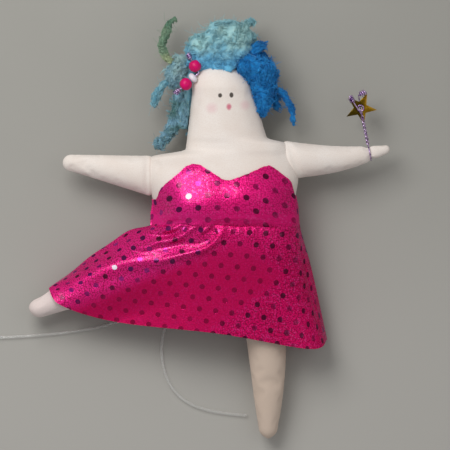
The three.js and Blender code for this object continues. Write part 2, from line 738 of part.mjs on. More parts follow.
const locks = [
  ['hair_crown', aquaWool, 14, 12,
    [[-13.5, 108, 1], [-6, 110.5, 1], [4, 114.5, 1], [14, 116, 1], [22, 116.5, 1], [28, 118, 1]],
    [8, 21, 29, 29, 23, 8]],
  ['hair_blue_lock', blueWool, 12, 9,
    [[28.5, 107, 0], [30, 101.5, 1], [33, 94.5, 1], [34, 85.5, 1], [34, 77, 1], [32.8, 70, 0]],
    [11, 19, 19, 14, 9.5, 3.5]],
  ['hair_blue_nub', blueWool, 5, 7, [[26.5, 109.8, 7.5], [31, 112.3, 6.5], [35, 114.8, 4]], [5.5, 6.2, 3.6]],
  ['hair_blue_short_tail', blueWool, 5, 6, [[41, 86, -3], [42, 80, -5], [42.6, 74.5, -6]], [5, 4, 2]],
  ['hair_blue_long_tail', blueWool, 8, 6,
    [[43, 86.5, 0], [47.5, 82.4, -1], [51, 77.5, -2], [52.6, 71, -4], [53.4, 64.4, -6]],
    [4.8, 4.6, 4, 3, 1.8]],
  ['hair_left_mass', aquaWool, 8, 9,
    [[-13, 104, -4], [-17.5, 100, -5], [-20, 95, -5], [-19, 89, -5]], [8, 12, 12, 7]],
  ['hair_green_curl', greenWool, 10, 7,
    [[-23.5, 103, -2], [-27.6, 108.5, -2], [-29.2, 115.5, -3], [-26.6, 121.5, -3],
      [-25.4, 126.6, -4], [-21.2, 130.3, -4]],
    [5.5, 5.5, 5, 5, 4.2, 3]],
  ['hair_left_loop', greenWool, 8, 7,
    [[-26, 92, -3], [-30.5, 86.5, -3], [-33.6, 80.5, -4], [-34.4, 75.8, -4]], [4.5, 4.6, 4.4, 3]],
  ['hair_left_hang', greenWool, 10, 7,
    [[-19, 83.5, -3], [-19.6, 76, -3], [-21.4, 68, -3], [-24.6, 59.5, -4], [-32.4, 50.6, -5]],
    [5.5, 5.5, 5, 4.6, 2.6]],
  ['hair_left_inner', aquaWool, 6, 7, [[-15, 80, 0], [-16.4, 72, 1], [-17.6, 64, 1]], [4, 4.4, 2.6]],
  ['hair_crown_curl', aquaWool, 5, 6, [[22.5, 126.5, 0], [26, 128.3, 0], [29, 128.6, -1]], [4.5, 4, 2.4]],
];

const taken = [headKeepOut, capKeepOut, wireKeepOut, ...beadKeepOuts];
for (const [name, wool, steps, sides, spine, widths] of locks) {
  add(name, cutBy(lock(spine, widths, steps, sides, 0), ...taken), wool);
  taken.push(toSolid(lock(spine, widths, steps, sides, hairFit)));
}

// Wand: the wire leaves one coil, twists down with itself, loops the wrist, twists back up,
// rings the middle of the star, passes through it and ends in a second coil above its notch
const wrist = leftArm.group.localToWorld(vec(wristReach, leftArm.shape.centre(wristReach), 0));
const wandUp = vec(Math.cos(wandTurn * degrees), Math.sin(wandTurn * degrees));
const wandSide = vec(0, 0, 1).cross(wandUp);
const wandFront = vec(0, 0, 1);
const onWand = (up, side, front) => wrist.clone().addScaledVector(wandUp, up)
  .addScaledVector(wandSide, side).addScaledVector(wandFront, front);
const loopGap = wireRadius + 0.35;
const loopUp = leftArm.shape.halfWidth(wristReach) + loopGap + 0.4;
const loopFront = leftArm.shape.height(wristReach, 0) + loopGap;
const stemStart = loopUp + 1;
const stemEnd = stemStart + stemLength;
const strandRadius = (wireDiameter + wireGap) / 2;
const strand = (k, phase) => {
  const turn = 2 * Math.PI * stemTwists * k + phase;
  return onWand(mix(stemStart, stemEnd, k), strandRadius * Math.sin(turn), strandRadius * Math.cos(turn));
};
const stemSteps = stemTwists * 8;
const stemRun = (phase) => Array.from({ length: stemSteps + 1 }, (_, k) => strand(k / stemSteps, phase));
const wristLoop = Array.from({ length: 21 }, (_, k) => {
  const turn = mix(26, 334, k / 20) * degrees;
  return onWand(loopUp * Math.cos(turn), 0, loopFront * Math.sin(turn));
});
const starUp = stemEnd + starReach;
const starFront = -(strandRadius + wireRadius + 0.4 + starThickness / 2);
const starCentre = onWand(starUp, 0, starFront);
const frontRun = starFront + starThickness / 2 + 0.4 + wireRadius;
const backRun = starFront - starThickness / 2 - 0.4 - wireRadius;
const ringRadius = 1.9;
const ring = Array.from({ length: 11 }, (_, k) => {
  const turn = mix(-80, 250, k / 10) * degrees;
  return onWand(starUp + ringRadius * Math.sin(turn), -ringRadius * Math.cos(turn),
    mix(frontRun + 1.2, frontRun + 0.15, k / 10));
});
const notchTurn = (starTurn + 104 - wandTurn) * degrees;
const toNotch = (reach, front) =>
  onWand(starUp + reach * Math.cos(notchTurn), reach * Math.sin(notchTurn), front);
const coilA = onWand(stemEnd + 8.6, 3.4, 2.4);
const leadA = onWand(stemEnd + 2.2, 0.7, 1.7);
const coilB = toNotch(8.2, frontRun + 1.3);
const wandPath = [
  ...coil(coilA, coilA.clone().sub(leadA)).reverse(), coilA, leadA,
  ...stemRun(0).reverse(), ...wristLoop, ...stemRun(Math.PI),
  onWand(stemEnd + 1.6, -0.3, frontRun + 0.7), ...ring,
  onWand(starUp - 0.5, 0.2, frontRun - 0.35), onWand(starUp, 0, starFront), onWand(starUp + 0.5, 0, backRun + 0.25),
  toNotch(2, backRun), toNotch(6.3, backRun), toNotch(7.4, starFront), toNotch(7.7, frontRun), coilB,
  ...coil(coilB, wandUp.clone().multiplyScalar(0.3).sub(wandSide)),
];
add('wand_wire', sweep(wandPath, () => wireRadius, 5), purpleWire);

const starShape = new THREE.Shape(Array.from({ length: 10 }, (_, k) => {
  const reach = k % 2 ? starNotch : starRadius;
  const turn = (starTurn + 36 * k) * degrees;
  return new THREE.Vector2(reach * Math.cos(turn), reach * Math.sin(turn));
}));
starShape.holes.push(new THREE.Path().absarc(0, 0, starHole / 2, 0, 2 * Math.PI, true));
const starSolid = new THREE.ExtrudeGeometry(starShape,
  { depth: starThickness, bevelEnabled: false, curveSegments: 10 });
starSolid.translate(0, 0, -starThickness / 2);
add('wand_star', starSolid, goldSheet).position.copy(starCentre);

console.log('least gap of hair wire to itself, mm', leastGap(hairWirePath, wireDiameter).toFixed(2));
console.log('least gap of wand wire to itself, mm', leastGap(wandPath, wireDiameter).toFixed(2));

// The origin is under the middle of the doll, on the table
const bounds = new THREE.Box3().setFromObject(doll, true);
const middle = bounds.getCenter(vec(0, 0));
doll.position.set(-middle.x, -middle.y, -bounds.min.z);

// Tie: a sewn tab on the skirt's back, and one clear cord that leaves it by two tails

function skirtUnder(x, y) {
  let best = { gap: Infinity, z: 0 };
  for (let i = 0; i <= skirtRows; i++) {
    for (let j = 0; j <= skirtCols; j++) {
      const p = skirtBack(dressWall)(i, j);
      const gap = Math.hypot(p.x - x, p.y - y);
      if (gap < best.gap) best = { gap, z: p.z };
    }
  }
  return best.z;
}

const tabTop = Math.min(...[-4, 0, 4].map((dx) => skirtUnder(tieX + dx, tieY))) - seamGap;
const tab = add('tie_tab', new THREE.BoxGeometry(tabLength, tabWidth, tabThickness), foilPink);
tab.position.set(tieX, tieY, tabTop - tabThickness / 2);

const root = new THREE.Group();
root.add(doll);
root.updateMatrixWorld(true);

function cordTail(name, end, route) {
  const exit = tab.localToWorld(vec(end * (tabLength / 2 + seamGap), 0, 0));
  const away = tab.localToWorld(vec(end * (tabLength / 2 + seamGap + 1.5 * cordDiameter), 0, 0));
  const laid = route.map(([x, y]) => vec(x, y, cordDiameter / 2 + 0.12));
  const points = [exit, exit.clone().lerp(away, 0.5), away, ...laid];
  const curve = new THREE.CatmullRomCurve3(points, false, 'centripetal');
  const section = new THREE.Shape(Array.from({ length: 8 }, (_, k) => new THREE.Vector2(
    (cordDiameter / 2) * Math.cos((k * Math.PI) / 4 + Math.PI / 8),
    (cordDiameter / 2) * Math.sin((k * Math.PI) / 4 + Math.PI / 8))));
  const steps = Math.round(curve.getLength() / (2.5 * cordDiameter));
  add(name, new THREE.ExtrudeGeometry(section, { steps, extrudePath: curve }), clearCord, root);
  console.log(name, 'length, mm', curve.getLength().toFixed(1));
}

cordTail('tie_left', -1, tieLeftRoute);
cordTail('tie_right', 1, tieRightRoute);

export default root;
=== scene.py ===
import math
import random

import bmesh
import bpy
import numpy as np
from mathutils import Matrix, Vector, noise
from mathutils.bvhtree import BVHTree


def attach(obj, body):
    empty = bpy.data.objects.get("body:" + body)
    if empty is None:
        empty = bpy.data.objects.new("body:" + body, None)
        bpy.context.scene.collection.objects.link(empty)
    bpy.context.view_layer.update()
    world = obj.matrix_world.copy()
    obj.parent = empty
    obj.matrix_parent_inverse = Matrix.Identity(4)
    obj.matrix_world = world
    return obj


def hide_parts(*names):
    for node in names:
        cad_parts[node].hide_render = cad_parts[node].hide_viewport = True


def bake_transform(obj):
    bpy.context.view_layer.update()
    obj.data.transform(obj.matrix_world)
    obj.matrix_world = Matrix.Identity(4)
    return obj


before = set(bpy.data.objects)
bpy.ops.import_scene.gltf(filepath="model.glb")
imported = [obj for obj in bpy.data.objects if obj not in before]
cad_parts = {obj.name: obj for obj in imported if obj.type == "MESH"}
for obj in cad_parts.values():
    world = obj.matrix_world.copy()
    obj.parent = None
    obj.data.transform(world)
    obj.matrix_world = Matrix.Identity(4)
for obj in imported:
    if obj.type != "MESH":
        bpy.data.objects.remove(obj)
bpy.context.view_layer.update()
scene = bpy.context.scene
scene.view_settings.view_transform = "Standard"
mm = 0.001
print("frame loaded:", len(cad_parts), "solids")

# the doll's own measures are in mm on its pattern; the pattern lies a little off the frame's origin
patternShift = np.array([-0.5211, 0.221, 0.0])
seamZ = 22.8
seamGap = 0.02
rim = 0.75


def toFrame(points):
    return (np.asarray(points, float).reshape(-1, 3) + patternShift) * mm


def mix(a, b, t):
    return a + (b - a) * t


def ease(t):
    t = np.clip(t, 0, 1)
    return t * t * (3 - 2 * t)


def arc(t):
    return np.sqrt(np.clip(1 - t * t, 0, 1))


def turned(degrees):
    return Vector((math.cos(math.radians(degrees)), math.sin(math.radians(degrees)), 0))


# a soft bump of height 1
def bell(t, at=0.0, spread=1.0):
    return np.exp(-(((t - at) / spread) ** 2))


# the curve from one point to the next, by the slope at each
def between(p1, slope1, p2, slope2, t):
    return (p1 * (2 * t**3 - 3 * t**2 + 1) + slope1 * (t**3 - 2 * t**2 + t)
            + p2 * (3 * t**2 - 2 * t**3) + slope2 * (t**3 - t**2))


# a smooth line through points, calm where they lie close together
def smoothLine(points, steps):
    pts = [Vector(p) for p in points]
    pts = [2 * pts[0] - pts[1], *pts, 2 * pts[-1] - pts[-2]]
    line = []
    for p0, p1, p2, p3 in zip(pts, pts[1:], pts[2:], pts[3:]):
        d0, d1, d2 = (max((b - a).length ** 0.5, 1e-4) for a, b in ((p0, p1), (p1, p2), (p2, p3)))
        m1 = ((p1 - p0) / d0 - (p2 - p0) / (d0 + d1) + (p2 - p1) / d1) * d1
        m2 = ((p2 - p1) / d1 - (p3 - p1) / (d1 + d2) + (p3 - p2) / d2) * d1
        line += [between(p1, m1, p2, m2, k / steps) for k in range(steps)]
    return [*line, pts[-2]]


# camera straight above the doll, far enough back that the outline stays true
cameraSet = {"centre": (10.31, 1.72), "height": 5000.0, "plane": 24.0, "span": 281.25}
camera = bpy.data.objects.new("camera", bpy.data.cameras.new("camera"))
scene.collection.objects.link(camera)
camera.location = toFrame((*cameraSet["centre"], cameraSet["height"] + cameraSet["plane"]))[0]
camera.data.lens = camera.data.sensor_width * cameraSet["height"] / cameraSet["span"]
scene.camera = camera


class Tone:
    def __init__(self, tree, socket=None):
        self.tree, self.socket = tree, socket

    def node(self, kind, settings=None, sockets=None, out=0):
        made = self.tree.nodes.new(kind)
        for key, value in (settings or {}).items():
            if key == "stops":
                stops = made.color_ramp.elements
                while len(stops) < len(value):
                    stops.new(0.5)
                for stop, (place, colour) in zip(stops, value):
                    stop.position, stop.color = place, colour
            else:
                setattr(made, key, value)
        for key, value in (sockets or {}).items():
            if isinstance(value, Tone):
                self.tree.links.new(value.socket, made.inputs[key])
            else:
                made.inputs[key].default_value = value
        return Tone(self.tree, made.outputs[out])

    def maths(self, operation, *others):
        return self.node("ShaderNodeMath", {"operation": operation}, dict(enumerate((self, *others))))

    def after(self, operation, other):
        return self.node("ShaderNodeMath", {"operation": operation}, {0: other, 1: self})

    def __add__(self, other):
        return self.maths("ADD", other)

    def __radd__(self, other):
        return self.after("ADD", other)

    def __sub__(self, other):
        return self.maths("SUBTRACT", other)

    def __rsub__(self, other):
        return self.after("SUBTRACT", other)

    def __mul__(self, other):
        return self.maths("MULTIPLY", other)

    def __rmul__(self, other):
        return self.after("MULTIPLY", other)

    def __truediv__(self, other):
        return self.maths("DIVIDE", other)

    def __pow__(self, other):
        return self.maths("POWER", other)

    def __abs__(self):
        return self.maths("ABSOLUTE")


def paint(red, green, blue):
    share = [c / 255 for c in (red, green, blue)]
    return (*[c / 12.92 if c <= 0.04045 else ((c + 0.055) / 1.055) ** 2.4 for c in share], 1)


# a new material: its shader's fixed values, and a Tone to hang nodes on
def newMaterial(name, **fixed):
    material = bpy.data.materials.new(name)
    material.use_nodes = True
    shader = material.node_tree.nodes["Principled BSDF"]
    for key, value in fixed.items():
        shader.inputs[key.replace("_", " ")].default_value = value
    return material, Tone(material.node_tree), shader


def feed(shader, **tones):
    for key, value in tones.items():
        value.tree.links.new(value.socket, shader.inputs[key.replace("_", " ")])


def inMillimetres(tone):
    place = tone.node("ShaderNodeTexCoord", out=3)
    return tone.node("ShaderNodeMapping", None, {"Vector": place, "Scale": (1000, 1000, 1000)})


def axes(vector):
    return [vector.node("ShaderNodeSeparateXYZ", None, {"Vector": vector}, out=k) for k in range(3)]


def blendColour(factor, first, second):
    return factor.node("ShaderNodeMix", {"data_type": "RGBA"}, {0: factor, 6: first, 7: second}, out=2)


def softStep(value, low, high):
    return value.node("ShaderNodeMapRange", {"interpolation_type": "SMOOTHSTEP"},
                      {"Value": value, "From Min": low, "From Max": high})


def cloudNoise(place, scale, detail=2.0):
    return place.node("ShaderNodeTexNoise", None, {"Vector": place, "Scale": scale, "Detail": detail})


def chanceAt(place, dimensions, out=0):
    return place.node("ShaderNodeTexWhiteNoise", {"noise_dimensions": dimensions}, {"Vector": place}, out=out)


def bumpy(height, distance, strength=1.0):
    return height.node("ShaderNodeBump", None, {"Height": height, "Distance": distance, "Strength": strength})


# a round tube along each line; lines are in metres
def tubeCurve(name, lines, radius, sides):
    curve = bpy.data.curves.new(name, "CURVE")
    curve.dimensions = "3D"
    curve.bevel_depth, curve.bevel_resolution, curve.use_fill_caps = radius * mm, sides, True
    for line in lines:
        spline = curve.splines.new("POLY")
        spline.points.add(len(line) - 1)
        spline.points.foreach_set("co", np.c_[np.array(line), np.ones(len(line))].ravel())
    tube = bpy.data.objects.new(name, curve)
    scene.collection.objects.link(tube)
    return tube


# clear cord of the tie
cordSet = {"diameter": 2.0, "lay": 1.12, "tabZ": 2.1, "inTab": 3,
           "left": [(2.679, -27.779), (1.179, -27.779), (-0.321, -27.779), (-7, -28.5), (-17, -34),
                    (-28, -42), (-38, -49), (-48, -54.5), (-57.5, -58.5), (-68, -61.9), (-80, -64.2),
                    (-92, -65.8), (-104, -67), (-116, -67.9), (-126, -68.5), (-135, -68.7)],
           "right": [(12.279, -27.779), (13.779, -27.779), (15.279, -27.779), (21, -29.5), (25.5, -35.5),
                     (23, -42), (14, -46), (2, -48.3), (-11, -50.3), (-21.5, -54.3), (-27.6, -62.5),
                     (-29.8, -73), (-29.4, -84.5), (-26.2, -95.5), (-20, -104.5), (-12, -110.3),
                     (-3, -113.8), (7, -115.9), (16, -117), (23.5, -117.7)]}


def clearCordMaterial():
    material, tone, shader = newMaterial("clear_cord", Roughness=0.1, IOR=1.4, Alpha=0.28, Coat_Weight=0.9)
    place = inMillimetres(tone)
    cloud = cloudNoise(place, 0.2)
    feed(shader, Base_Color=blendColour(cloud, paint(214, 212, 206), paint(238, 237, 233)),
         Normal=bumpy(cloudNoise(place, 0.7), 0.00006))
    return material


clearCord = clearCordMaterial()
for side, length in (("left", 0.1473), ("right", 0.1721)):
    heights = [cordSet["tabZ"] if k < cordSet["inTab"] else cordSet["lay"] for k in range(len(cordSet[side]))]
    points = [(x, y, z) for (x, y), z in zip(cordSet[side], heights)]
    line = [p * mm for p in smoothLine(points, 8)]
    cord = tubeCurve("tie_cord_" + side, [line], cordSet["diameter"] / 2, 4)
    cord.data.materials.append(clearCord)
    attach(cord, "torso")
    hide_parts("tie_" + side)
print("tie cords laid")


# floor and soft light
def stageMaterial():
    material, tone, shader = newMaterial("floor_paper", Roughness=0.9, Specular_IOR_Level=0.1)
    place = inMillimetres(tone)
    _, y, _ = axes(place)
    paper = blendColour(cloudNoise(place, 0.008), paint(156, 154, 147), paint(164, 162, 155))
    # painted light: the floor is painted lighter towards the bottom
    paintedFloorLight = softStep(y, 120, -160)
    feed(shader, Base_Color=blendColour(paintedFloorLight, paper, paint(184, 181, 174)))
    return material


floorSet = {"half": 3.0, "drop": 0.1}
lightSet = {"world": 0.4, "keySize": 0.46, "keyPower": 3.7, "keyPlace": (-0.26, 0.4, 0.62),
            "fillSize": 0.6, "fillPower": 0.5, "fillPlace": (0.5, 0.2, 0.8)}
floorMesh = bpy.data.meshes.new("floor")
bm = bmesh.new()
bmesh.ops.create_grid(bm, x_segments=2, y_segments=2, size=floorSet["half"])
bmesh.ops.translate(bm, verts=bm.verts, vec=(0, 0, -floorSet["drop"] * mm))
bm.to_mesh(floorMesh)
bm.free()
floorMesh.materials.append(stageMaterial())
floor = bpy.data.objects.new("floor", floorMesh)
scene.collection.objects.link(floor)

world = bpy.data.worlds.new("studio")
scene.world = world
world.use_nodes = True
world.node_tree.nodes["Background"].inputs["Color"].default_value = paint(246, 247, 250)
world.node_tree.nodes["Background"].inputs["Strength"].default_value = lightSet["world"]
for name in ("key", "fill"):
    lamp = bpy.data.lights.new(name, "AREA")
    lamp.size = lightSet[name + "Size"]
    lamp.energy = lightSet[name + "Power"]
    lampObject = bpy.data.objects.new(name, lamp)
    lampObject.location = lightSet[name + "Place"]
    lampObject.rotation_mode = "QUATERNION"
    lampObject.rotation_quaternion = (-lampObject.location).to_track_quat("-Z", "Y")
    scene.collection.objects.link(lampObject)
print("stage lit")


def newObject(name, source, *materials):
    mesh = source
    if isinstance(source, bmesh.types.BMesh):
        mesh = bpy.data.meshes.new(name)
        source.to_mesh(mesh)
        source.free()
    mesh.shade_smooth()
    for material in materials:
        mesh.materials.append(material)
    obj = bpy.data.objects.new(name, mesh)
    scene.collection.objects.link(obj)
    return obj


def applyModifiers(obj):
    bpy.context.view_layer.update()
    shown = obj.evaluated_get(bpy.context.evaluated_depsgraph_get())
    finished = bpy.data.meshes.new_from_object(shown)
    obj.modifiers.clear()
    obj.data = finished
    return obj


def subdivided(obj, levels=1):
    bend = obj.modifiers.new("smooth", "SUBSURF")
    bend.levels = bend.render_levels = levels
    return obj


# a grid pushed into shape: shape takes arrays up (0 to 1) and across (-1 to 1) and gives mm on the pattern
def shapedGrid(bm, rows, cols, shape):
    made = bmesh.ops.create_grid(bm, x_segments=cols, y_segments=rows, size=1)["verts"]
    flat = np.array([v.co for v in made])
    for vert, place in zip(made, toFrame(shape((flat[:, 1] + 1) / 2, flat[:, 0]))):
        vert.co = place
    return made


def closePouch(bm, seamMatrix):
    bmesh.ops.mirror(bm, geom=bm.verts[:] + bm.edges[:] + bm.faces[:], matrix=seamMatrix.inverted(),
                     merge_dist=2e-6, axis="Z")
    bmesh.ops.remove_doubles(bm, verts=bm.verts, dist=4e-6)
    bmesh.ops.dissolve_degenerate(bm, edges=bm.edges, dist=1e-6)
    bmesh.ops.recalc_face_normals(bm, faces=bm.faces)


# head and trunk: two lobes joined smoothly and drawn down along the four stitch lines
bodySet = {"crownY": 103, "crownX": 6.2, "crownHeight": 18.5, "browWidth": 37, "neckWidth": 51, "neckX": 11.8,
           "neckY": 54, "headDepth": 31, "trunkX": 9.4, "trunkY": 5, "trunkWidth": 94.4, "trunkRise": 45,
           "trunkDrop": 47, "trunkTurn": 6, "trunkDepth": 43, "hipDepth": 36, "waistY": 1.2,
           "waistPinch": 0.13, "waistSpread": 4, "stitchSlope": 1.15}
hinges = {"right_arm": (-37.8, 32.6, 180), "left_arm": (53.2, 42.8, 22.5),
          "right_leg": (-28.5, -22, 196.5), "left_leg": (33, -36.5, 270)}
browY = bodySet["crownY"] - bodySet["crownHeight"]


def headLobe(x, y, grow):
    b = bodySet
    up = (y - browY) / (b["crownHeight"] + grow)
    cap = np.where(up > 0, arc(np.maximum(up, 0)), 1)
    down = np.maximum((browY - y) / (browY - b["neckY"]), 0)
    half = (mix(b["browWidth"], b["neckWidth"], down) / 2 + grow) * cap
    middle = mix(b["crownX"], b["neckX"], (b["crownY"] - y) / (b["crownY"] - b["neckY"]))
    depth = (b["headDepth"] / 2 + grow) * cap * arc((x - middle) / np.maximum(half, 1e-6))
    return np.where((up < 1) & (y >= b["trunkY"]), depth, 0)


def trunkLobe(x, y, grow):
    b = bodySet
    turn = math.radians(b["trunkTurn"])
    dx, dy = x - b["trunkX"], y - b["trunkY"]
    across = np.abs(dx * math.cos(turn) + dy * math.sin(turn)) / (b["trunkWidth"] / 2 + grow)
    along = -dx * math.sin(turn) + dy * math.cos(turn)
    end = np.abs(along) / (np.where(along > 0, b["trunkRise"], b["trunkDrop"]) + grow)
    side = 1 - np.minimum(across, 1) ** 3.2
    end = np.minimum(end, 1) ** 3.2
    share = np.maximum(np.where(along > 0, side * (1 - end), side - end), 0)
    hips = ease((b["waistY"] + 8 - y) / 22)
    return (mix(b["trunkDepth"], b["hipDepth"], hips) / 2 + grow) * share**0.55


def alongLine(name, x, y):
    hx, hy, turn = hinges[name]
    a = math.radians(turn)
    return math.cos(a) * (x - hx) + math.sin(a) * (y - hy), -math.sin(a) * (x - hx) + math.cos(a) * (y - hy)


# the arm's own fullness carried into the shoulder, with a soft crease on the stitch line
shoulderSet = {"deep": 9, "spread": 1.3, "reach": 18, "run": 16, "crease": 0.2, "creaseWidth": 1.8,
               "ball": 7.5}


def creaseAt(out):
    return shoulderSet["crease"] * bell(out, 0, shoulderSet["creaseWidth"])


def shoulders(core, x, y):
    for name in ("right_arm", "left_arm"):
        out, across = alongLine(name, x, y)
        width, _, depth = limbSection(name, np.zeros_like(x), fullness=1.0)
        deep = ease(-out / shoulderSet["deep"])
        wide = width * mix(1, shoulderSet["spread"], deep)
        lift = np.clip(1 - (across / wide) ** 2, 0, 1) ** mix(0.6, 1.4, deep)
        lift = lift * depth * ease((out + shoulderSet["reach"]) / shoulderSet["run"])
        core = (core**4 + lift**4) ** 0.25
        core = core * (1 - creaseAt(out) * (np.abs(across) < width + 2))
    return core


def trunkCore(x, y, grow=0.0, gap=0.5, soft=False):
    lobes = (headLobe(x, y, grow) ** 6 + trunkLobe(x, y, grow) ** 6) ** (1 / 6)
    inside = lobes > 0
    total = np.maximum(lobes, 1e-6) ** -4.0
    slope = bodySet["stitchSlope"]
    for name in hinges:
        depth = -alongLine(name, x, y)[0] - gap
        depth = depth + np.where(np.asarray(grow) > 0, grow + rim / slope, 0)
        inside &= depth > 0
        if not (soft and name.endswith("arm")):
            total += (slope * np.maximum(depth, 1e-6)) ** -4.0
    core = np.where(inside, total**-0.25, 0)
    return np.where(inside, shoulders(core, x, y), 0) if soft else core


def trunkEdges(y, grow=0.0, gap=0.5):
    b = bodySet
    start = mix(b["trunkX"], b["crownX"], np.clip((y - b["trunkY"]) / (b["crownY"] - b["trunkY"]), 0, 1))
    found = []
    for side in (-1, 1):
        inner, outer = start.copy(), start + side * b["trunkWidth"]
        for _ in range(40):
            middle = (inner + outer) / 2
            hit = trunkCore(middle, y, grow, gap) > 0
            inner, outer = np.where(hit, middle, inner), np.where(hit, outer, middle)
        found.append(inner)
    return found


def acrossTrunk(y, t, grow):
    low, high = trunkEdges(y, grow)
    return mix(low, high, (t + 1) / 2)


# places where the outline shifts sideways: how far, from which x and over what run, at which y and how widely
drawSet = {"left waist": (3.8, -18, -18, 12.5, 10), "right waist": (-1.9, 36, 20, 4, 20),
           "cheek": (1.1, 14, 12, 79, 13), "armpit": (2.4, 40, 14, 31, 8)}


def drawnIn(x, y):
    moved = x
    for far, fromX, run, atY, spread in drawSet.values():
        moved = moved + far * ease((x - fromX) / run) * bell(y, atY, spread)
    return moved


# the waist seam's height across the front; it climbs where a fold runs over it
waistSeam = np.array([(-45, 0.3), (-37, 0.1), (-28, 1.2), (-17, 3.0), (-11, 0.8), (-5, 1.0), (-0.6, 1.7),
                      (6, 0.4), (15, 0.0), (30, -0.3), (46, -0.6), (60, -0.4)])


def waistLine(x):
    steps = [np.interp(x + d, waistSeam[:, 0], waistSeam[:, 1]) for d in (-2.5, 0, 2.5)]
    return sum(steps) / 3 + 0.25 * np.sin(x / 3.7)


bustSet = {"height": 3.0, "left": -34, "right": 52, "run": 18, "cleft": 0.3, "cleftX": 9, "cleftWidth": 7,
           "y": 14, "slope": 0.12, "slopeX": -10, "spread": 120**0.5}


def bust(x, y):
    b = bustSet
    sides = ease((x - b["left"]) / b["run"]) * ease((b["right"] - x) / b["run"])
    cleft = 1 - b["cleft"] * bell(x, b["cleftX"], b["cleftWidth"])
    return b["height"] * sides * cleft * bell(y, b["y"] + b["slope"] * (x - b["slopeX"]), b["spread"])


# a pouch's cloth over its filling, rounding off to nothing at the seam
def skinRise(core):
    return np.sqrt(core * core + 2 * rim * core)


def atSeam(up, t):
    return (np.abs(t) > 0.999) | (up < 0.001) | (up > 0.999)


# the waist is drawn in under the dress's seam
def torsoRise(x, y):
    core = trunkCore(x, y, gap=seamGap, soft=True)
    pinch = bodySet["waistPinch"] * bell(y, bodySet["waistY"], bodySet["waistSpread"])
    return skinRise(core * (1 - pinch))


def torsoShape(up, t):
    b = bodySet
    bottom = hinges["left_leg"][1] + 0.03
    straight = browY - bottom
    run = up * (straight + b["crownHeight"] * math.pi / 2)
    turn = np.clip((run - straight) / b["crownHeight"], 0, math.pi / 2)
    y = np.where(run < straight, bottom + run, browY + b["crownHeight"] * np.sin(turn) * 0.99999)
    low, high = trunkEdges(y, gap=seamGap)
    x = mix(low, high, (np.sin(t * math.pi / 2) + 1) / 2)
    height = np.where(atSeam(up, t), 0, torsoRise(x, y))
    return np.stack([drawnIn(x, y), y, seamZ + height], 1)


# limbs: each lies along its own +X from the stitch line to a round tip
limbSet = {
    "right_arm": {"droop": 4, "length": 53.5, "stitch": 25, "depth": 20, "tipWidth": 10.4, "tipDepth": 8.6,
                  "shift": -8, "bow": 0, "belly": 0, "wrist": 0},
    "left_arm": {"droop": 4, "length": 58.4, "stitch": 25, "depth": 20, "tipWidth": 5.6, "tipDepth": 5.6,
                 "shift": -16.3, "bow": -2.4, "belly": 0.5, "wrist": 45.6},
    "right_leg": {"droop": 6, "length": 89, "stitch": 28, "depth": 24, "tipWidth": 13.2, "tipDepth": 12.5,
                  "shift": 4, "bow": 0, "belly": 0, "wrist": 0},
    "left_leg": {"droop": 8, "length": 96.3, "stitch": 28, "depth": 24, "tipWidth": 13.2, "tipDepth": 12.5,
                 "shift": 4.4, "bow": 1.6, "belly": 1.4, "wrist": 0},
}
wristPinch = 0.3
footSet = {"narrow": 0.09, "from": 22, "run": 18, "lean": 1.8}


def limbMatrix(name):
    x, y, turn = hinges[name]
    return (Matrix.Translation((x, y, seamZ)) @ Matrix.Rotation(math.radians(turn), 4, "Z")
            @ Matrix.Rotation(math.radians(limbSet[name]["droop"]), 4, "Y"))


# half width, middle line and half depth of a limb at a distance from its stitch line
def limbSection(name, s, gap=0.5, fullness=0.0):
    m = limbSet[name]
    tip = m["length"] - m["tipWidth"] / 2
    along = np.clip(s / tip, 0, 1)
    cap = np.where(s > tip, arc((s - tip) / (m["tipWidth"] / 2)), 1)
    pinch = 1 - wristPinch * bell(s, m["wrist"], 2) if m["wrist"] else 1
    width = (mix(m["stitch"], m["tipWidth"], along) / 2 + m["belly"] * np.sin(math.pi * along)) * pinch * cap
    middle = m["shift"] * along + m["bow"] * np.sin(math.pi * along)
    lens = mix((1 - (1 - np.clip((s - gap) / (0.8 * m["depth"]), 0, 1)) ** 2) ** 0.95, 1, 0.86 * fullness)
    depth = (mix(m["depth"], m["tipDepth"], along) / 2 - rim) * lens * pinch * cap
    return width, middle, depth


def limbShape(name):
    m = limbSet[name]
    matrix = np.array(limbMatrix(name))
    full = 1.0 if name.endswith("arm") else 0.0
    ball = full * shoulderSet["ball"]  # an arm's end goes on round inside the shoulder
    tip, half = m["length"] - m["tipWidth"] / 2, m["tipWidth"] / 2

    def shape(up, t):
        run = up * (ball * math.pi / 2 + tip + half * math.pi / 2) - ball * math.pi / 2
        s = np.where(run < tip, run, tip + half * np.sin(np.clip((run - tip) / half, 0, math.pi / 2)))
        if ball:
            s = np.where(run < 0, ball * np.sin(np.clip(run / ball, -math.pi / 2, 0)), s)
        width, middle, depth = limbSection(name, np.maximum(s, 0), seamGap, full)
        inner = arc(np.minimum(s, 0) / max(ball, 1))
        width = width * mix(1, arc((s - tip) / half) ** 0.6, ease((s - tip) / half) * (name == "left_leg"))
        narrow = footSet["narrow"] * (1 - full) * ease((s - m["length"] + footSet["from"]) / footSet["run"])
        middle = middle + width * narrow * footSet["lean"] * (name == "right_leg")
        width = width * (1 - narrow)
        width, depth = width * inner, depth * inner * (1 - full * creaseAt(s))
        spread = np.sin(t * math.pi / 2)
        height = np.where(atSeam(up, t), 0, skinRise(depth * np.clip(1 - spread**2, 0, 1) ** 0.6))
        local = np.stack([s, middle + spread * width, height, np.ones_like(s)], 1)
        return (local @ matrix.T)[:, :3]

    return shape


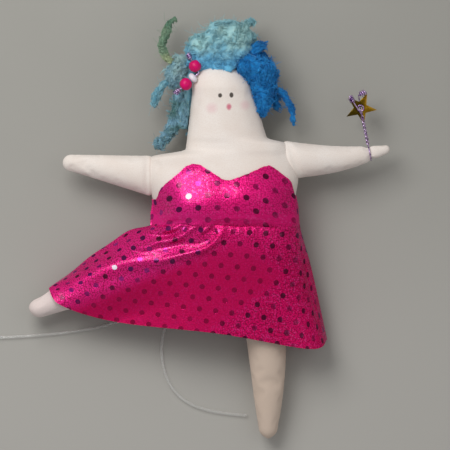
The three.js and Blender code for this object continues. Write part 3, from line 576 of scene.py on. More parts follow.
# plain cotton skin; the torso's also has the drawn face
faceSet = {"eyes": [((7.25, 82.5), (1.25, 1.35)), ((14.3, 82.7), (1.2, 1.6))],
           "mouth": ((12.8, 75.4), (1.45, 1.8)),
           "cheeks": [((2.1, 74.5), (3.0, 2.8)), ((22.9, 76.5), (2.7, 2.6))],
           "eyeInk": paint(66, 58, 52), "mouthPaint": paint(206, 92, 120), "cheekPaint": paint(226, 180, 184)}


def cottonMaterial(name, withFace=False):
    material, tone, shader = newMaterial(name, Specular_IOR_Level=0.25, Sheen_Weight=0.12,
                                         Sheen_Roughness=0.5)
    place = inMillimetres(tone)
    x, y, z = axes(place)
    cloud = cloudNoise(place, 0.045, 3)
    grain = cloudNoise(place, 1.6, 1)
    weave = (x * 12.2 + cloud * 3).maths("SINE") * (y * 12.2 + cloud * 3).maths("SINE")
    colour = blendColour(softStep(cloud, 0.3, 0.7), paint(233, 221, 211), paint(239, 230, 222))
    colour = blendColour(softStep(grain, 0.35, 0.75) * 0.35, colour, paint(222, 205, 192))
    fromSeam = tone.node("ShaderNodeAttribute", {"attribute_name": "seam"}, out=2)
    seam = 1 - softStep(abs(fromSeam), 0.15, 0.7)
    colour = blendColour(seam * 0.35, colour, paint(196, 172, 154))
    # painted shade: the legs are painted darker and warmer below y -56
    colour = blendColour(softStep(y, -56, -78) * 0.86, colour, paint(210, 187, 167))
    foot = softStep(x, -70, -86) * softStep(y, -10, -20)
    colour = blendColour(foot * 0.3, colour, paint(226, 196, 200))
    # painted shade: a dark line along the right shoulder's stitch crease
    out, across = alongLine("right_arm", x - patternShift[0], y - patternShift[1])
    line = (1 - softStep(abs(out + 1.3), 0.1, 0.75)) * (1 - softStep(abs(across), 10.5, 12.6))
    colour = blendColour(line * 0.2, colour, paint(168, 134, 114))
    if withFace:
        front = softStep(z, seamZ + 6, seamZ + 8)

        def spot(centre, radii, soft):
            cx, cy = centre[0] + patternShift[0], centre[1] + patternShift[1]
            wobble = (cloudNoise(place, 0.9, 1) - 0.5) * 0.35
            far = (((x - cx) / radii[0]) ** 2 + ((y - cy) / radii[1]) ** 2) ** 0.5 + wobble
            return (1 - softStep(far, 1 - soft, 1 + soft)) * front

        for cheek in faceSet["cheeks"]:
            colour = blendColour(spot(*cheek, 0.75) * 0.45, colour, faceSet["cheekPaint"])
        colour = blendColour(spot(*faceSet["mouth"], 0.5) * 0.85, colour, faceSet["mouthPaint"])
        for eye in faceSet["eyes"]:
            colour = blendColour(spot(*eye, 0.25) * 0.95, colour, faceSet["eyeInk"])
    feed(shader, Base_Color=colour, Roughness=0.78 + grain * 0.15,
         Normal=bumpy(weave * 0.35 + grain, 0.00006, 0.6))
    return material


# gives the stuffed cloth its small hollows and puckers, held at the seams
plumpSet = {"scale": 10.0, "frames": 20, "cap": 0.4, "held": 0.05,
            "cloth": {"quality": 6, "mass": 0.15, "air_damping": 2.0, "tension_stiffness": 25,
                      "compression_stiffness": 25, "shear_stiffness": 12, "bending_stiffness": 2.0,
                      "use_pressure": True, "uniform_pressure_force": 4.0, "vertex_group_mass": "seam",
                      "shrink_min": -0.012}}


def plump(obj, flat):
    mesh = obj.data
    rest = np.array([v.co for v in mesh.vertices])
    group = obj.vertex_groups.new(name="seam")
    for k in np.nonzero(np.abs(flat) < plumpSet["held"])[0]:
        group.add([int(k)], 1.0, "REPLACE")
    mesh.transform(Matrix.Scale(plumpSet["scale"], 4))
    cloth = obj.modifiers.new("plump", "CLOTH")
    for key, value in plumpSet["cloth"].items():
        setattr(cloth.settings, key, value)
    cloth.settings.effector_weights.gravity = 0
    for step in range(1, plumpSet["frames"] + 1):
        scene.frame_set(step)
    shown = obj.evaluated_get(bpy.context.evaluated_depsgraph_get())
    moved = np.array([v.co for v in shown.data.vertices]) / plumpSet["scale"] - rest
    obj.modifiers.clear()
    obj.vertex_groups.clear()
    scene.frame_set(1)
    far = np.linalg.norm(moved, axis=1, keepdims=True)
    moved *= np.minimum(1, plumpSet["cap"] * mm / np.maximum(far, 1e-9))
    mesh.vertices.foreach_set("co", (rest + moved).astype(np.float32).ravel())
    mesh.update()
    most = round(float(far.max()) / mm, 2)
    print("  plumped", obj.name, "by up to", most, "mm, kept under", plumpSet["cap"])


# a pouch's skin; smooth lists ranges of y and how often the cloth is evened out there
def skinPiece(name, rows, cols, shape, material, matrix, body, fill, smooth=()):
    bm = bmesh.new()
    shapedGrid(bm, rows, cols, shape)
    inside = [v for v in bm.verts if not v.is_boundary]
    for low, high, times in smooth:
        soft = [v for v in inside if low * mm < v.co.y < high * mm]
        for _ in range(times):
            bmesh.ops.smooth_vert(bm, verts=soft, factor=0.5, use_axis_z=True)
    onPattern = Matrix.Translation(patternShift) @ matrix
    inMetres = Matrix.Scale(mm, 4) @ Matrix.Translation(patternShift) @ matrix
    closePouch(bm, Matrix.Translation(inMetres.translation) @ matrix.to_quaternion().to_matrix().to_4x4())
    obj = newObject(name, bm, material)
    places = np.array([v.co for v in obj.data.vertices])
    flat = (np.c_[places / mm, np.ones(len(places))] @ np.array(onPattern.inverted()).T)[:, 2]
    seamLine = obj.data.attributes.new("seam", "FLOAT", "POINT")
    seamLine.data.foreach_set("value", flat.astype(np.float32))
    plump(obj, flat)
    applyModifiers(subdivided(obj)).data.shade_smooth()
    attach(obj, body)
    return obj


cotton = cottonMaterial("cotton_skin")
faceCotton = cottonMaterial("cotton_face", withFace=True)
skinSet = {"torsoGrid": (80, 56), "limbGrid": (50, 24), "fill": 0.85,
           "smooth": [(-100, 200, 36), (40, 86, 320)]}
torsoSkin = skinPiece("torso_skin", *skinSet["torsoGrid"], torsoShape, faceCotton,
                      Matrix.Translation((0, 0, seamZ)), "torso", skinSet["fill"], skinSet["smooth"])
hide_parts("torso_front", "torso_back", "torso_stuffing")
for name in limbSet:
    limbSkin = skinPiece(name + "_skin", *skinSet["limbGrid"], limbShape(name), cotton,
                         limbMatrix(name), name, skinSet["fill"])
    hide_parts(name + "_front", name + "_back", name + "_stuffing")
print("body stuffed")


# round tubes along lines on the pattern, each with one of the piece's materials
def tubeMesh(name, lines, radius, sides=2, tints=()):
    holder = tubeCurve(name, [toFrame(line) for line in lines], radius, sides)
    for spline, tint in zip(holder.data.splines, tints):
        spline.material_index = tint
    bpy.context.view_layer.update()
    mesh = bpy.data.meshes.new_from_object(holder.evaluated_get(bpy.context.evaluated_depsgraph_get()))
    bpy.data.objects.remove(holder)
    return mesh


# whip stitches over each pinch line
threadSet = {"diameter": 0.42, "reach": 0.75, "pitch": 2.6, "steps": 12}


def threadMaterial():
    material, tone, shader = newMaterial("sewing_thread", Roughness=0.8)
    twist = cloudNoise(inMillimetres(tone), 3.0)
    feed(shader, Base_Color=blendColour(twist, paint(214, 194, 178), paint(236, 222, 210)),
         Normal=bumpy(twist, 0.00005))
    return material


thread = threadMaterial()
for limb, node in (("right_arm", "shoulder_thread_right"), ("left_arm", "shoulder_thread_left"),
                   ("right_leg", "hip_thread_right"), ("left_leg", "hip_thread_left")):
    x, y, turn = hinges[limb]
    out = turned(turn)
    along = Vector((-out.y, out.x, 0))
    half = limbSet[limb]["stitch"] / 2
    steps = int(2 * half / threadSet["pitch"] * threadSet["steps"])
    line = []
    for k in range(steps + 1):
        around = 2 * math.pi * k / threadSet["steps"]
        line.append(Vector((x, y, seamZ)) + along * mix(-half, half, k / steps)
                    + out * threadSet["reach"] * math.cos(around)
                    + Vector((0, 0, threadSet["reach"] * math.sin(around))))
    mesh = tubeMesh(node, [line], threadSet["diameter"] / 2)
    stitches = newObject(node.replace("thread", "stitches"), mesh, thread)
    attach(stitches, "torso")
    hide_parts(node)
print("limbs stitched on")


# foil dress cloth: staggered dots on a fine pebbled ground, laid out on the cloth's own map in mm
foilSet = {"pitch": 10.2, "row": 7.1, "dot": 1.72, "pebble": 1.05,
           "pink": paint(222, 12, 96), "shadedDullMiddle": paint(197, 13, 77), "deep": paint(140, 6, 54),
           "light": paint(246, 44, 150), "upper": paint(246, 36, 136), "paintedSheen": paint(246, 42, 152),
           "inks": [(0.0, paint(46, 2, 28)), (0.5, paint(78, 2, 40)), (1.0, paint(104, 2, 60))],
           "paintedSheenInks": [(0.0, paint(40, 4, 42)), (0.45, paint(74, 8, 76)), (0.75, paint(92, 14, 104)),
                        (0.97, paint(134, 50, 158))],
           "glint": paint(250, 244, 252), "paintedDotHighlight": paint(190, 56, 140),
           "glints": [(-12.8, 20.8), (-59.3, -23.3)],
           "shadedDullMiddleEdges": [(45, -31, 0.61, -0.79), (-49, -35, -0.36, 0.93), (25, -11, 0.66, 0.75)]}


def foilMaterial():
    f = foilSet
    material, tone, shader = newMaterial("foil_fabric", Coat_Roughness=0.16, Specular_IOR_Level=0.3,
                                         Specular_Tint=paint(214, 120, 255))
    cloth = tone.node("ShaderNodeUVMap", {"uv_map": "cloth"})
    u, v, _ = axes(cloth)
    rowPlace = v / f["row"]
    row = rowPlace.maths("FLOOR")
    colPlace = u / f["pitch"] + row.maths("FLOORED_MODULO", 2) * 0.5
    col = colPlace.maths("FLOOR")
    du, dv = (colPlace - col - 0.5) * f["pitch"], (rowPlace - row - 0.5) * f["row"]
    far = (du * du + dv * dv) ** 0.5
    dot = 1 - softStep(far, f["dot"] - 0.22, f["dot"] + 0.12)
    cell = tone.node("ShaderNodeCombineXYZ", None, {"X": col, "Y": row})
    chance = chanceAt(cell, "2D")
    dull, _, _ = axes(chanceAt(cell, "2D", out=1))
    x, y, z = axes(inMillimetres(tone))
    # painted reflection: the dots and dark flecks are painted fainter on a band at the bodice's foot and over
    # the middle of the skirt
    paintedDullReflection = softStep(y, 10, 7) * softStep(y, 1, 3) * 0.8
    shadedDullMiddle = None  # the middle of the skirt, between three lines
    for px, py, nx, ny in f["shadedDullMiddleEdges"]:
        below = softStep((x - px) * nx + (y - py) * ny, 5, -5)
        shadedDullMiddle = below if shadedDullMiddle is None else shadedDullMiddle * below
    paintedDullReflection = paintedDullReflection.maths("MAXIMUM", shadedDullMiddle)
    # painted sheen: the ground and dots at the upper left are painted more violet, the foil's lilac sheen
    paintedSheen = softStep(x, 12, -24) * softStep(y - x * 0.41, -20, -10)
    flakes = {"Vector": cloth, "Scale": 1 / f["pebble"], "Randomness": 0.75}
    pebble = tone.node("ShaderNodeTexVoronoi", {"voronoi_dimensions": "2D"}, flakes)
    flake = tone.node("ShaderNodeTexVoronoi", {"voronoi_dimensions": "2D"}, flakes, out=2)
    lucky = chanceAt(flake, "3D")
    fu, fv, _ = axes(flake)
    leanU, leanV, _ = axes(chanceAt(flake, "3D", out=1))
    tilt = (u - fu) * (leanU - 0.5) + (v - fv) * (leanV - 0.5)
    gaps = softStep(pebble, 0.28, 0.62)
    wash = softStep(cloudNoise(cloth, 0.05, 2), 0.35, 0.68)
    # the ground is darker at random in a wash, and painted darker over the middle of the skirt as painted
    # shade, with fewer light flakes there
    ground = blendColour((wash * 0.6).maths("MAXIMUM", shadedDullMiddle * 0.75), f["pink"], f["shadedDullMiddle"])
    ground = blendColour(softStep(lucky, 0.6, 0.9) * (0.4 - shadedDullMiddle * 0.28), ground, f["light"])
    # painted light: the dress is painted lighter and pinker towards the top
    ground = blendColour(softStep(y, -34, 26) * 0.6, ground, f["upper"])
    ground = blendColour(paintedSheen * 0.45, ground, f["paintedSheen"])
    # painted reflection: the dark flecks are painted fainter in those zones, and fainter above the waist
    gaps = gaps * (0.85 - paintedDullReflection * 0.6 - softStep(y, 0, 8) * 0.28)
    ground = blendColour(gaps, ground, f["deep"])
    ink, paintedSheenInk = (tone.node("ShaderNodeValToRGB", {"stops": f[key]}, {"Fac": chance})
                    for key in ("inks", "paintedSheenInks"))
    ink = blendColour(paintedSheen * softStep(chance, 0.2, 0.4), ink, paintedSheenInk)
    (ax, ay), (bx, by) = f["glints"]
    near = ((x - ax) ** 2 + (y - ay) ** 2).maths("MINIMUM", (x - bx) ** 2 + (y - by) ** 2)
    glint = (1 - softStep(near, 6.0, 12.0)) * dot * softStep(z, 24, 28)
    ink = blendColour(glint, ink, f["glint"])
    # painted highlight: a lighter crescent on one side of some dots
    paintedDotHighlight = softStep(du * 0.8 + dv * 0.6, 0.3, 1.5) * softStep(chance, 0.45, 0.95) * 0.55
    ink = blendColour(paintedDotHighlight, ink, f["paintedDotHighlight"])
    strength = dot * (0.8 + chance * 0.2 - paintedDullReflection * (0.42 + chance * 0.3)
                      - softStep(dull, 0.6, 0.8) * (0.46 - paintedDullReflection * 0.4))
    colour = blendColour(strength, ground, ink)
    height = (1 - pebble) * (1 - dot) * 0.6 + dot * 0.35 + (lucky * 0.3 + tilt * 0.5) * (1 - dot)
    sparkle = softStep(lucky, 0.72, 0.92) * (0.4 - shadedDullMiddle * 0.36)
    feed(shader, Base_Color=colour, Metallic=0.38 + dot * 0.4 - glint * 0.75,
         Roughness=0.38 - dot * 0.14 - softStep(lucky, 0.8, 0.95) * 0.14,
         Coat_Weight=0.05 + dot * 0.12 + paintedSheen * 0.16 + sparkle, Normal=bumpy(height, 0.00022, 0.8))
    return material


foil = foilMaterial()


# writes the cloth's map, in mm, from a rule that takes pattern x, y and z
def layMap(bm, rule):
    layer = bm.loops.layers.uv.new("cloth")
    for face in bm.faces:
        for loop in face.loops:
            place = np.array(loop.vert.co) / mm - patternShift
            loop[layer].uv = rule(*place)


def clothPiece(name, bm, thickness):
    bmesh.ops.recalc_face_normals(bm, faces=bm.faces)
    obj = newObject(name, bm, foil)
    wall = obj.modifiers.new("wall", "SOLIDIFY")
    wall.thickness, wall.offset = thickness * mm, -1
    applyModifiers(obj)
    obj.data.shade_smooth()
    obj.data.set_sharp_from_angle(angle=math.radians(60))
    return obj


# skirt: a tight sheet over hips and legs, with drawn folds at the waist
skirtSet = {"rows": 68, "cols": 168, "ease": 2.4, "floor": 2.8, "hemLeftZ": 15, "hemRightZ": 12, "hang": 9.0,
            "thickness": 0.6, "sweep": 4, "puffs": [(2.6, 0.2, 0.14), (-1.5, 0.78, 0.15)], "relaxed": 5200,
            "lift": 0.9, "gather": 0.3, "ripples": 9,
            "hem": [(-100, -37.5), (-92, -48.5), (-57, -59), (7, -66.2), (63, -75.7), (74.3, -70)],
            "folds": [  # line on the pattern, height, half width
                ([(-37.4, 0.8), (-32.4, 1.2), (-25.8, -1.1), (-19.5, 0.4), (-17.2, 2.9)], 2.0, 1.7),
                ([(-49, -8.9), (-44.4, -11.6), (-38.2, -12), (-32.7, -9.3), (-21.9, -7.4), (-16.4, -5),
                  (-8.7, 0.4), (-4.0, 2.4)], 2.4, 2.2),
                ([(-33.5, -22.1), (-25.8, -19.8), (-18, -17.5), (-10.2, -15.9), (-0.9, -12.8), (3.8, -9.3),
                  (7.3, -5), (8.6, -0.6)], 2.3, 2.3),
                ([(-84, -33), (-68, -25), (-52, -21.5), (-38, -20.5), (-24, -18.5), (-10, -15)], 2.6, 5.2),
                ([(-7, -5), (-1.5, -1.2), (1.9, 2.2)], 1.5, 1.6),
                ([(42, 0.6), (50, 0.2), (56, 1.2)], 1.2, 2.0),
                ([(-36, -4.6), (-26, -4.8), (-19, -2.2)], -1.8, 1.6),
                ([(-30, -13), (-14, -9.5), (-3, -6), (4, 0.8)], -1.4, 2.0),
                ([(48.4, -0.2), (57.2, -12), (61.3, -28.9), (66, -48), (70, -68)], -0.9, 0.9),
                ([(18, -2), (24, -14), (27, -30)], 0.7, 4.0),
                ([(-92, -40), (-70, -30), (-55, -26)], 1.2, 5.0)]}


def foldHeight(x, y):
    total = np.zeros_like(x)
    for line, height, half in skirtSet["folds"]:
        pts = np.array([p[:2] for p in smoothLine([(*p, 0) for p in line], 6)])
        far = np.full_like(x, 1e6)
        share = np.zeros_like(x)
        for k, (a, b) in enumerate(zip(pts, pts[1:])):
            d = b - a
            t = np.clip(((x - a[0]) * d[0] + (y - a[1]) * d[1]) / max(d @ d, 1e-9), 0, 1)
            gap = np.hypot(x - a[0] - t * d[0], y - a[1] - t * d[1])
            share = np.where(gap < far, (k + t) / (len(pts) - 1), share)
            far = np.minimum(far, gap)
        ends = np.sin(np.clip(share * 0.9 + 0.05, 0, 1) * math.pi) ** 0.7
        total += height * bell(far, 0, half) * ends
    return total


# bodice: a snug sheet on the trunk, cut to a two-peaked top edge
bodiceSet = {"grid": (44, 120), "ease": 1.8, "clear": 1.1, "over": 1.3, "lift": 0.15, "thickness": 0.6,
             "wave": 0.22, "snug": 0.55, "snugRun": 1.6, "corner": 1.4, "cornerFrom": 0.8, "cornerRun": 0.2,
             "cornerFall": 4, "groove": 1.7, "leftGroove": 0.5, "grooveWidth": 3.2, "lowest": 0.3,
             "topEdge": [(-37.5, 17.5), (-36.1, 18.2), (-29.9, 25), (-20.4, 32.5), (-13.7, 38.6),
                         (-9.5, 39.9), (-5.5, 39.4), (1.25, 35.2), (8.5, 30.3), (12, 29.4), (16, 30.4),
                         (25, 33.8), (34.5, 38.2), (38, 38.9), (41.3, 37.2), (50.8, 28.6), (55.5, 21),
                         (57.5, 19.5)],
             "backTop": [(-40, 18), (-20, 22), (10, 24), (40, 22), (60, 18)]}


def bodiceShape(side):
    b = bodiceSet
    edge = np.array(b["topEdge"] if side > 0 else b["backTop"])

    def shape(up, t):
        spread = np.sin(t * math.pi / 2)
        top = np.full_like(t, 20.0)
        for _ in range(6):  # the top edge's height is known by x, and x by the height
            x = acrossTrunk(top, spread, b["ease"])
            top = np.interp(x, edge[:, 0], edge[:, 1])
        top = top + b["wave"] * np.sin(x * 1.7) * np.sin(x * 0.53 + 1)
        y = mix(waistLine(x), top, up)
        snug = b["snug"] * np.exp(-(top - y) / b["snugRun"])
        corner = b["corner"] * ease((np.abs(spread) - b["cornerFrom"]) / b["cornerRun"])
        corner = corner * bell(top - y, 0, b["cornerFall"])
        x = acrossTrunk(y, spread, b["ease"]) - np.sign(spread) * corner
        height = np.maximum(b["lift"] + trunkCore(x, y, b["ease"]), torsoRise(x, y) + b["over"])
        groove = b["groove"] if side < 0 else mix(b["leftGroove"], b["groove"], ease((x + 2) / 12))
        if side > 0:
            height = height + bust(x, y) + foldHeight(x, y) * ease((12 - y) / 8)
        height = height - snug - groove * bell(y, waistLine(x), b["grooveWidth"])
        height = np.maximum(height, torsoRise(x, y) + b["clear"])
        height = np.where(np.abs(t) > 0.999, 0, np.maximum(height, 0))
        return np.stack([drawnIn(x, y), y, np.maximum(seamZ + side * height, b["lowest"])], 1)

    return shape


# where the first dot lies on the cloth's map, and how the map goes on down the steep sides
dotMiddle = (foilSet["pitch"] / 2, foilSet["row"] / 2)
bodiceMapSet = {"top": 31, "deepest": 26, "rightX": 40, "leftX": -20, "run": 10, "dot": (5.7, 12.6),
                "scale": (0.85, 0.934), "bow": 0.003, "bowX": 2}
skirtMapSet = {"top": 30, "deepest": 26, "rightX": 42, "rightRun": 12, "leftX": -20, "leftRun": 20,
               "legRun": 6, "slope": 0.05, "hemSlope": 0.09, "hemY": 60, "wing": 0.0025, "wingX": -50,
               "lean": 0.12, "dot": (26.0, -58.4)}


def bodiceMap(x, y, z):
    m = bodiceMapSet
    drop = min(max(m["top"] - z, 0), m["deepest"])
    x += drop * float(ease((x - m["rightX"]) / m["run"]) - ease((m["leftX"] - x) / m["run"]))
    bowed = y + m["bow"] * (x - m["bowX"]) ** 2
    places = zip((x, bowed), m["dot"], m["scale"], dotMiddle)
    return tuple((place - dot) * scale + middle for place, dot, scale, middle in places)


for side, part, flat, area in ((1, "front", (0.124, 0.041), 0.0034), (-1, "back", (0.116, 0.026), 0.0025)):
    bm = bmesh.new()
    shapedGrid(bm, *bodiceSet["grid"], bodiceShape(side))
    bmesh.ops.remove_doubles(bm, verts=bm.verts, dist=1e-6)
    layMap(bm, bodiceMap)
    bodice = clothPiece("dress_bodice_" + part, bm, bodiceSet["thickness"])
    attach(bodice, "torso")
    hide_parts("bodice_" + part)
    print("  bodice", part, "cloth area", round(sum(p.area for p in bodice.data.polygons) / 2e-4, 2), "cm2")
print("bodice sewn")


def hemPoint(share):
    pts = np.array(skirtSet["hem"], float)
    place = np.clip(share, 0, 1) * (len(pts) - 1)
    k = np.minimum(place.astype(int), len(pts) - 2)
    t = (place - k)[:, None]
    p0, p1, p2, p3 = pts[np.maximum(k - 1, 0)], pts[k], pts[k + 1], pts[np.minimum(k + 2, len(pts) - 1)]
    return between(p1, (p2 - p0) / 2, p2, (p3 - p1) / 2, t)


def limbTop(name, x, y, side, grow):
    matrix = np.array(limbMatrix(name))
    local = np.c_[x, y, np.full_like(x, seamZ), np.ones_like(x)] @ np.linalg.inv(matrix).T
    s = np.clip(local[:, 0], 0.5, limbSet[name]["length"])
    width, middle, depth = limbSection(name, s)
    t = (local[:, 1] - middle) / (width + grow)
    local[:, 2] = side * (rim + depth * np.clip(1 - t * t, 0, 1) ** 0.6 + grow)
    inside = (local[:, 0] > -grow) & (local[:, 0] < limbSet[name]["length"] + grow) & (np.abs(t) < 1)
    return np.where(inside, side * ((local @ matrix.T)[:, 2] - seamZ), -1e3)


def skirtShape(side):
    k = skirtSet
    rows, cols = k["rows"], k["cols"]
    v, s = np.meshgrid(np.linspace(0, 1, rows + 1), np.linspace(0, 1, cols + 1), indexing="ij")
    v, s = v.ravel(), s.ravel()
    waistY = bodySet["waistY"]
    hem = hemPoint(s)
    topX = acrossTrunk(np.full_like(s, waistY), 2 * s - 1, 1.8)
    x = mix(topX, hem[:, 0], v)
    y = mix(waistLine(topX) + 0.9, hem[:, 1], v) + k["sweep"] * np.sin(math.pi * v) * (1 - s) ** 3
    y += sum(height * bell(v, at, spread) for height, at, spread in k["puffs"]) * (1 - s) ** 8
    grow = mix(1.1, k["ease"], ease((waistY - y) / 12))
    core = trunkCore(x, y, grow)
    support = np.where(core > 0, 0.15 + core, -1e3)
    for leg in ("right_leg", "left_leg"):
        support = np.maximum(support, limbTop(leg, x, y, side, grow))
    waist = np.maximum(0.15 + trunkCore(x, y, 0.5), torsoRise(x, y) + 1.2)
    edge = (s < 1e-6) | (s > 1 - 1e-6)
    support = np.where(v < 1e-6, waist, support)
    rimZ = side * (mix(seamZ, np.where(s < 0.5, k["hemLeftZ"], k["hemRightZ"]), v) - seamZ)
    z = np.where(edge, rimZ, np.maximum(support, 2)).reshape(rows + 1, cols + 1)
    floorUp = support.reshape(z.shape)
    for _ in range(k["relaxed"]):  # a stretched sheet: each place goes to the mean of its neighbours
        below = np.vstack([z[2:, 1:-1], z[-2:-1, 1:-1]])
        mean = (z[:-1, 1:-1] + below + z[1:, :-2] + z[1:, 2:]) / 4
        z[1:, 1:-1] = np.maximum(mean, floorUp[1:, 1:-1])
    z = z.ravel()
    fromSide = np.minimum(s, 1 - s)
    lift = k["lift"] * np.sin(math.pi * np.clip(v * 6, 0, 0.5)) * np.clip(fromSide * 25, 0, 1)
    if side > 0:
        z = z + lift * mix(0.25, 1, ease((x + 2) / 12))
        inward = np.clip(fromSide * 12, 0, 1)
        below = alongLine("right_leg", x, y)[1]
        hang = k["hang"] * ease((below - 3) / 24) * ease((-5 - x) / 50) * inward
        waves = np.sin(x * 1.37 + 0.7 * np.sin(x / 7))
        gathers = k["gather"] * waves * bell(v, 0, 0.08) * np.minimum(v * 40, 1)
        z = np.maximum(z - hang, support + 0.2) + (foldHeight(x, y) + gathers) * inward
        z = np.maximum(z, np.where(core > 0, torsoRise(x, y) + 1.3, -1e3))
    else:
        z = z + lift
        ripple = 0.5 - 0.5 * np.cos(2 * k["ripples"] * math.pi * s)
        most = seamZ - k["floor"] * ease((waistY - y) / 12)
        z = np.minimum(z + ripple * np.sin(math.pi * np.sqrt(v)) ** 2, np.maximum(support + 0.5, most))
    z = np.where(edge, rimZ, z)
    places = np.stack([drawnIn(x, y), y, seamZ + side * z], 1).reshape(rows + 1, cols + 1, 3)

    def shape(up, t):
        i = np.rint((1 - up) * rows).astype(int)
        j = np.rint((t + 1) / 2 * cols).astype(int)
        return places[i, j]

    return shape


def skirtMap(x, y, z):
    m = skirtMapSet
    slope = m["slope"] + m["hemSlope"] * min(max(-y / m["hemY"], 0), 1.2)
    wing = m["wing"] * min(x - m["wingX"], 0) ** 2
    drop = min(max(m["top"] - z, 0), m["deepest"])
    besideLeg = ease(-alongLine("right_leg", x, y)[1] / m["legRun"])
    side = drop * float(ease((m["leftX"] - x) / m["leftRun"]) * besideLeg)
    x, y = x + drop * float(ease((x - m["rightX"]) / m["rightRun"])) - 0.5 * side, y + 0.85 * side
    across, up = x - m["lean"] * y - m["dot"][0], y + slope * x - wing - m["dot"][1]
    return (across + dotMiddle[0], up + dotMiddle[1])


# the skirt is three gores, cut from one sheet
goreSet = {
    "left": {"cuts": [(-12.0, "left")], "bodies": ("torso", "right_leg"), "start": (-25.0, -22.0),
             "end": (-45.0, -27.0), "flat": (0.105, 0.098)},
    "middle": {"cuts": [(-12.0, "right"), (20.0, "left")], "bodies": ("torso", "left_leg"),
               "start": (20.0, -33.0), "end": (30.0, -43.3), "flat": (0.064, 0.068)},
    "right": {"cuts": [(20.0, "right")], "bodies": ("torso", "left_leg"), "start": (33.0, -33.0),
              "end": (33.0, -52.0), "flat": (0.112, 0.078)},
}
whole = bmesh.new()
for side in (1, -1):
    shapedGrid(whole, skirtSet["rows"], skirtSet["cols"], skirtShape(side))
bmesh.ops.remove_doubles(whole, verts=whole.verts, dist=1e-6)
bmesh.ops.recalc_face_normals(whole, faces=whole.faces)
layMap(whole, skirtMap)
for gore, g in goreSet.items():
    bm = whole.copy()
    for x, kept in g["cuts"]:
        bmesh.ops.bisect_plane(bm, geom=bm.verts[:] + bm.edges[:] + bm.faces[:], dist=1e-7,
                               plane_co=toFrame((x, 0, 0))[0], plane_no=(1, 0, 0),
                               clear_outer=kept == "left", clear_inner=kept == "right")
    piece = clothPiece("dress_skirt_" + gore, bm, skirtSet["thickness"])
    start, end = (Vector(toFrame((*g[key], seamZ))[0]) for key in ("start", "end"))
    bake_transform(piece)
    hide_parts("skirt_front", "skirt_back")
    surface = sum(p.area for p in piece.data.polygons) / 2
    print("  skirt", gore, "cloth area", round(surface * 1e4, 2), "cm2")
whole.free()
print("skirt hung")


# wool hair: a lumpy core in each lock's own space, under many curled strands laid in ringlets
def woolMaterial(name, dark, pale, fleck, gradient=None):
    material, tone, shader = newMaterial(name, Roughness=0.92, Specular_IOR_Level=0.15, Sheen_Weight=0.08,
                                         Sheen_Roughness=0.6)
    place = inMillimetres(tone)
    cloud = cloudNoise(place, 0.11, 3)
    fine = cloudNoise(place, 0.8, 2)
    colour = blendColour(softStep(cloud, 0.32, 0.68), dark, pale)
    colour = blendColour(softStep(fine, 0.5, 0.75) * 0.5, colour, fleck)
    if gradient:
        _, y, _ = axes(place)
        end, high, low = gradient
        colour = blendColour(softStep(y + (cloud - 0.5) * 14, high, low) * 0.85, colour, end)
    feed(shader, Base_Color=colour, Normal=bumpy(fine, 0.0004, 0.7))
    return material


aqua = [woolMaterial("aqua_wool", paint(126, 178, 190), paint(160, 202, 202), paint(192, 220, 212),
                     (paint(100, 184, 226), 116, 101)),
        woolMaterial("aqua_wool_light", paint(170, 208, 206), paint(196, 218, 206), paint(218, 230, 218),
                     (paint(136, 202, 230), 115, 101)),
        woolMaterial("aqua_wool_deep", paint(102, 158, 174), paint(130, 182, 190), paint(160, 200, 196))]
blue = [woolMaterial("blue_wool", paint(14, 106, 174), paint(34, 142, 210), paint(66, 164, 218)),
        woolMaterial("blue_wool_light", paint(46, 156, 222), paint(84, 182, 234), paint(124, 200, 236)),
        woolMaterial("blue_wool_deep", paint(5, 60, 112), paint(10, 84, 144), paint(24, 108, 168))]
sage = [woolMaterial("sage_wool", paint(84, 128, 106), paint(126, 154, 128), paint(164, 182, 156),
                     (paint(176, 188, 148), 113, 106)),
        woolMaterial("sage_wool_light", paint(150, 176, 142), paint(182, 194, 158), paint(200, 206, 176),
                     (paint(190, 198, 164), 114, 106)),
        woolMaterial("sage_wool_deep", paint(44, 88, 72), paint(78, 118, 96), paint(92, 134, 118))]
sea = [woolMaterial("sea_wool", paint(104, 164, 184), paint(142, 186, 196), paint(172, 202, 196)),
       woolMaterial("sea_wool_light", paint(140, 184, 200), paint(168, 200, 200), paint(192, 212, 196)),
       woolMaterial("sea_wool_deep", paint(58, 124, 136), paint(90, 150, 152), paint(112, 160, 142))]
mixed = [woolMaterial("hang_wool", paint(82, 126, 122), paint(138, 184, 206), paint(186, 208, 196)),
         woolMaterial("hang_wool_light", paint(116, 166, 194), paint(156, 192, 208), paint(196, 208, 184)),
         woolMaterial("hang_wool_deep", paint(58, 94, 86), paint(104, 140, 130), paint(146, 174, 150))]
massWool = [sea[1], sea[0], aqua[2]]
loopWool = [sea[0], sage[2], blue[1]]

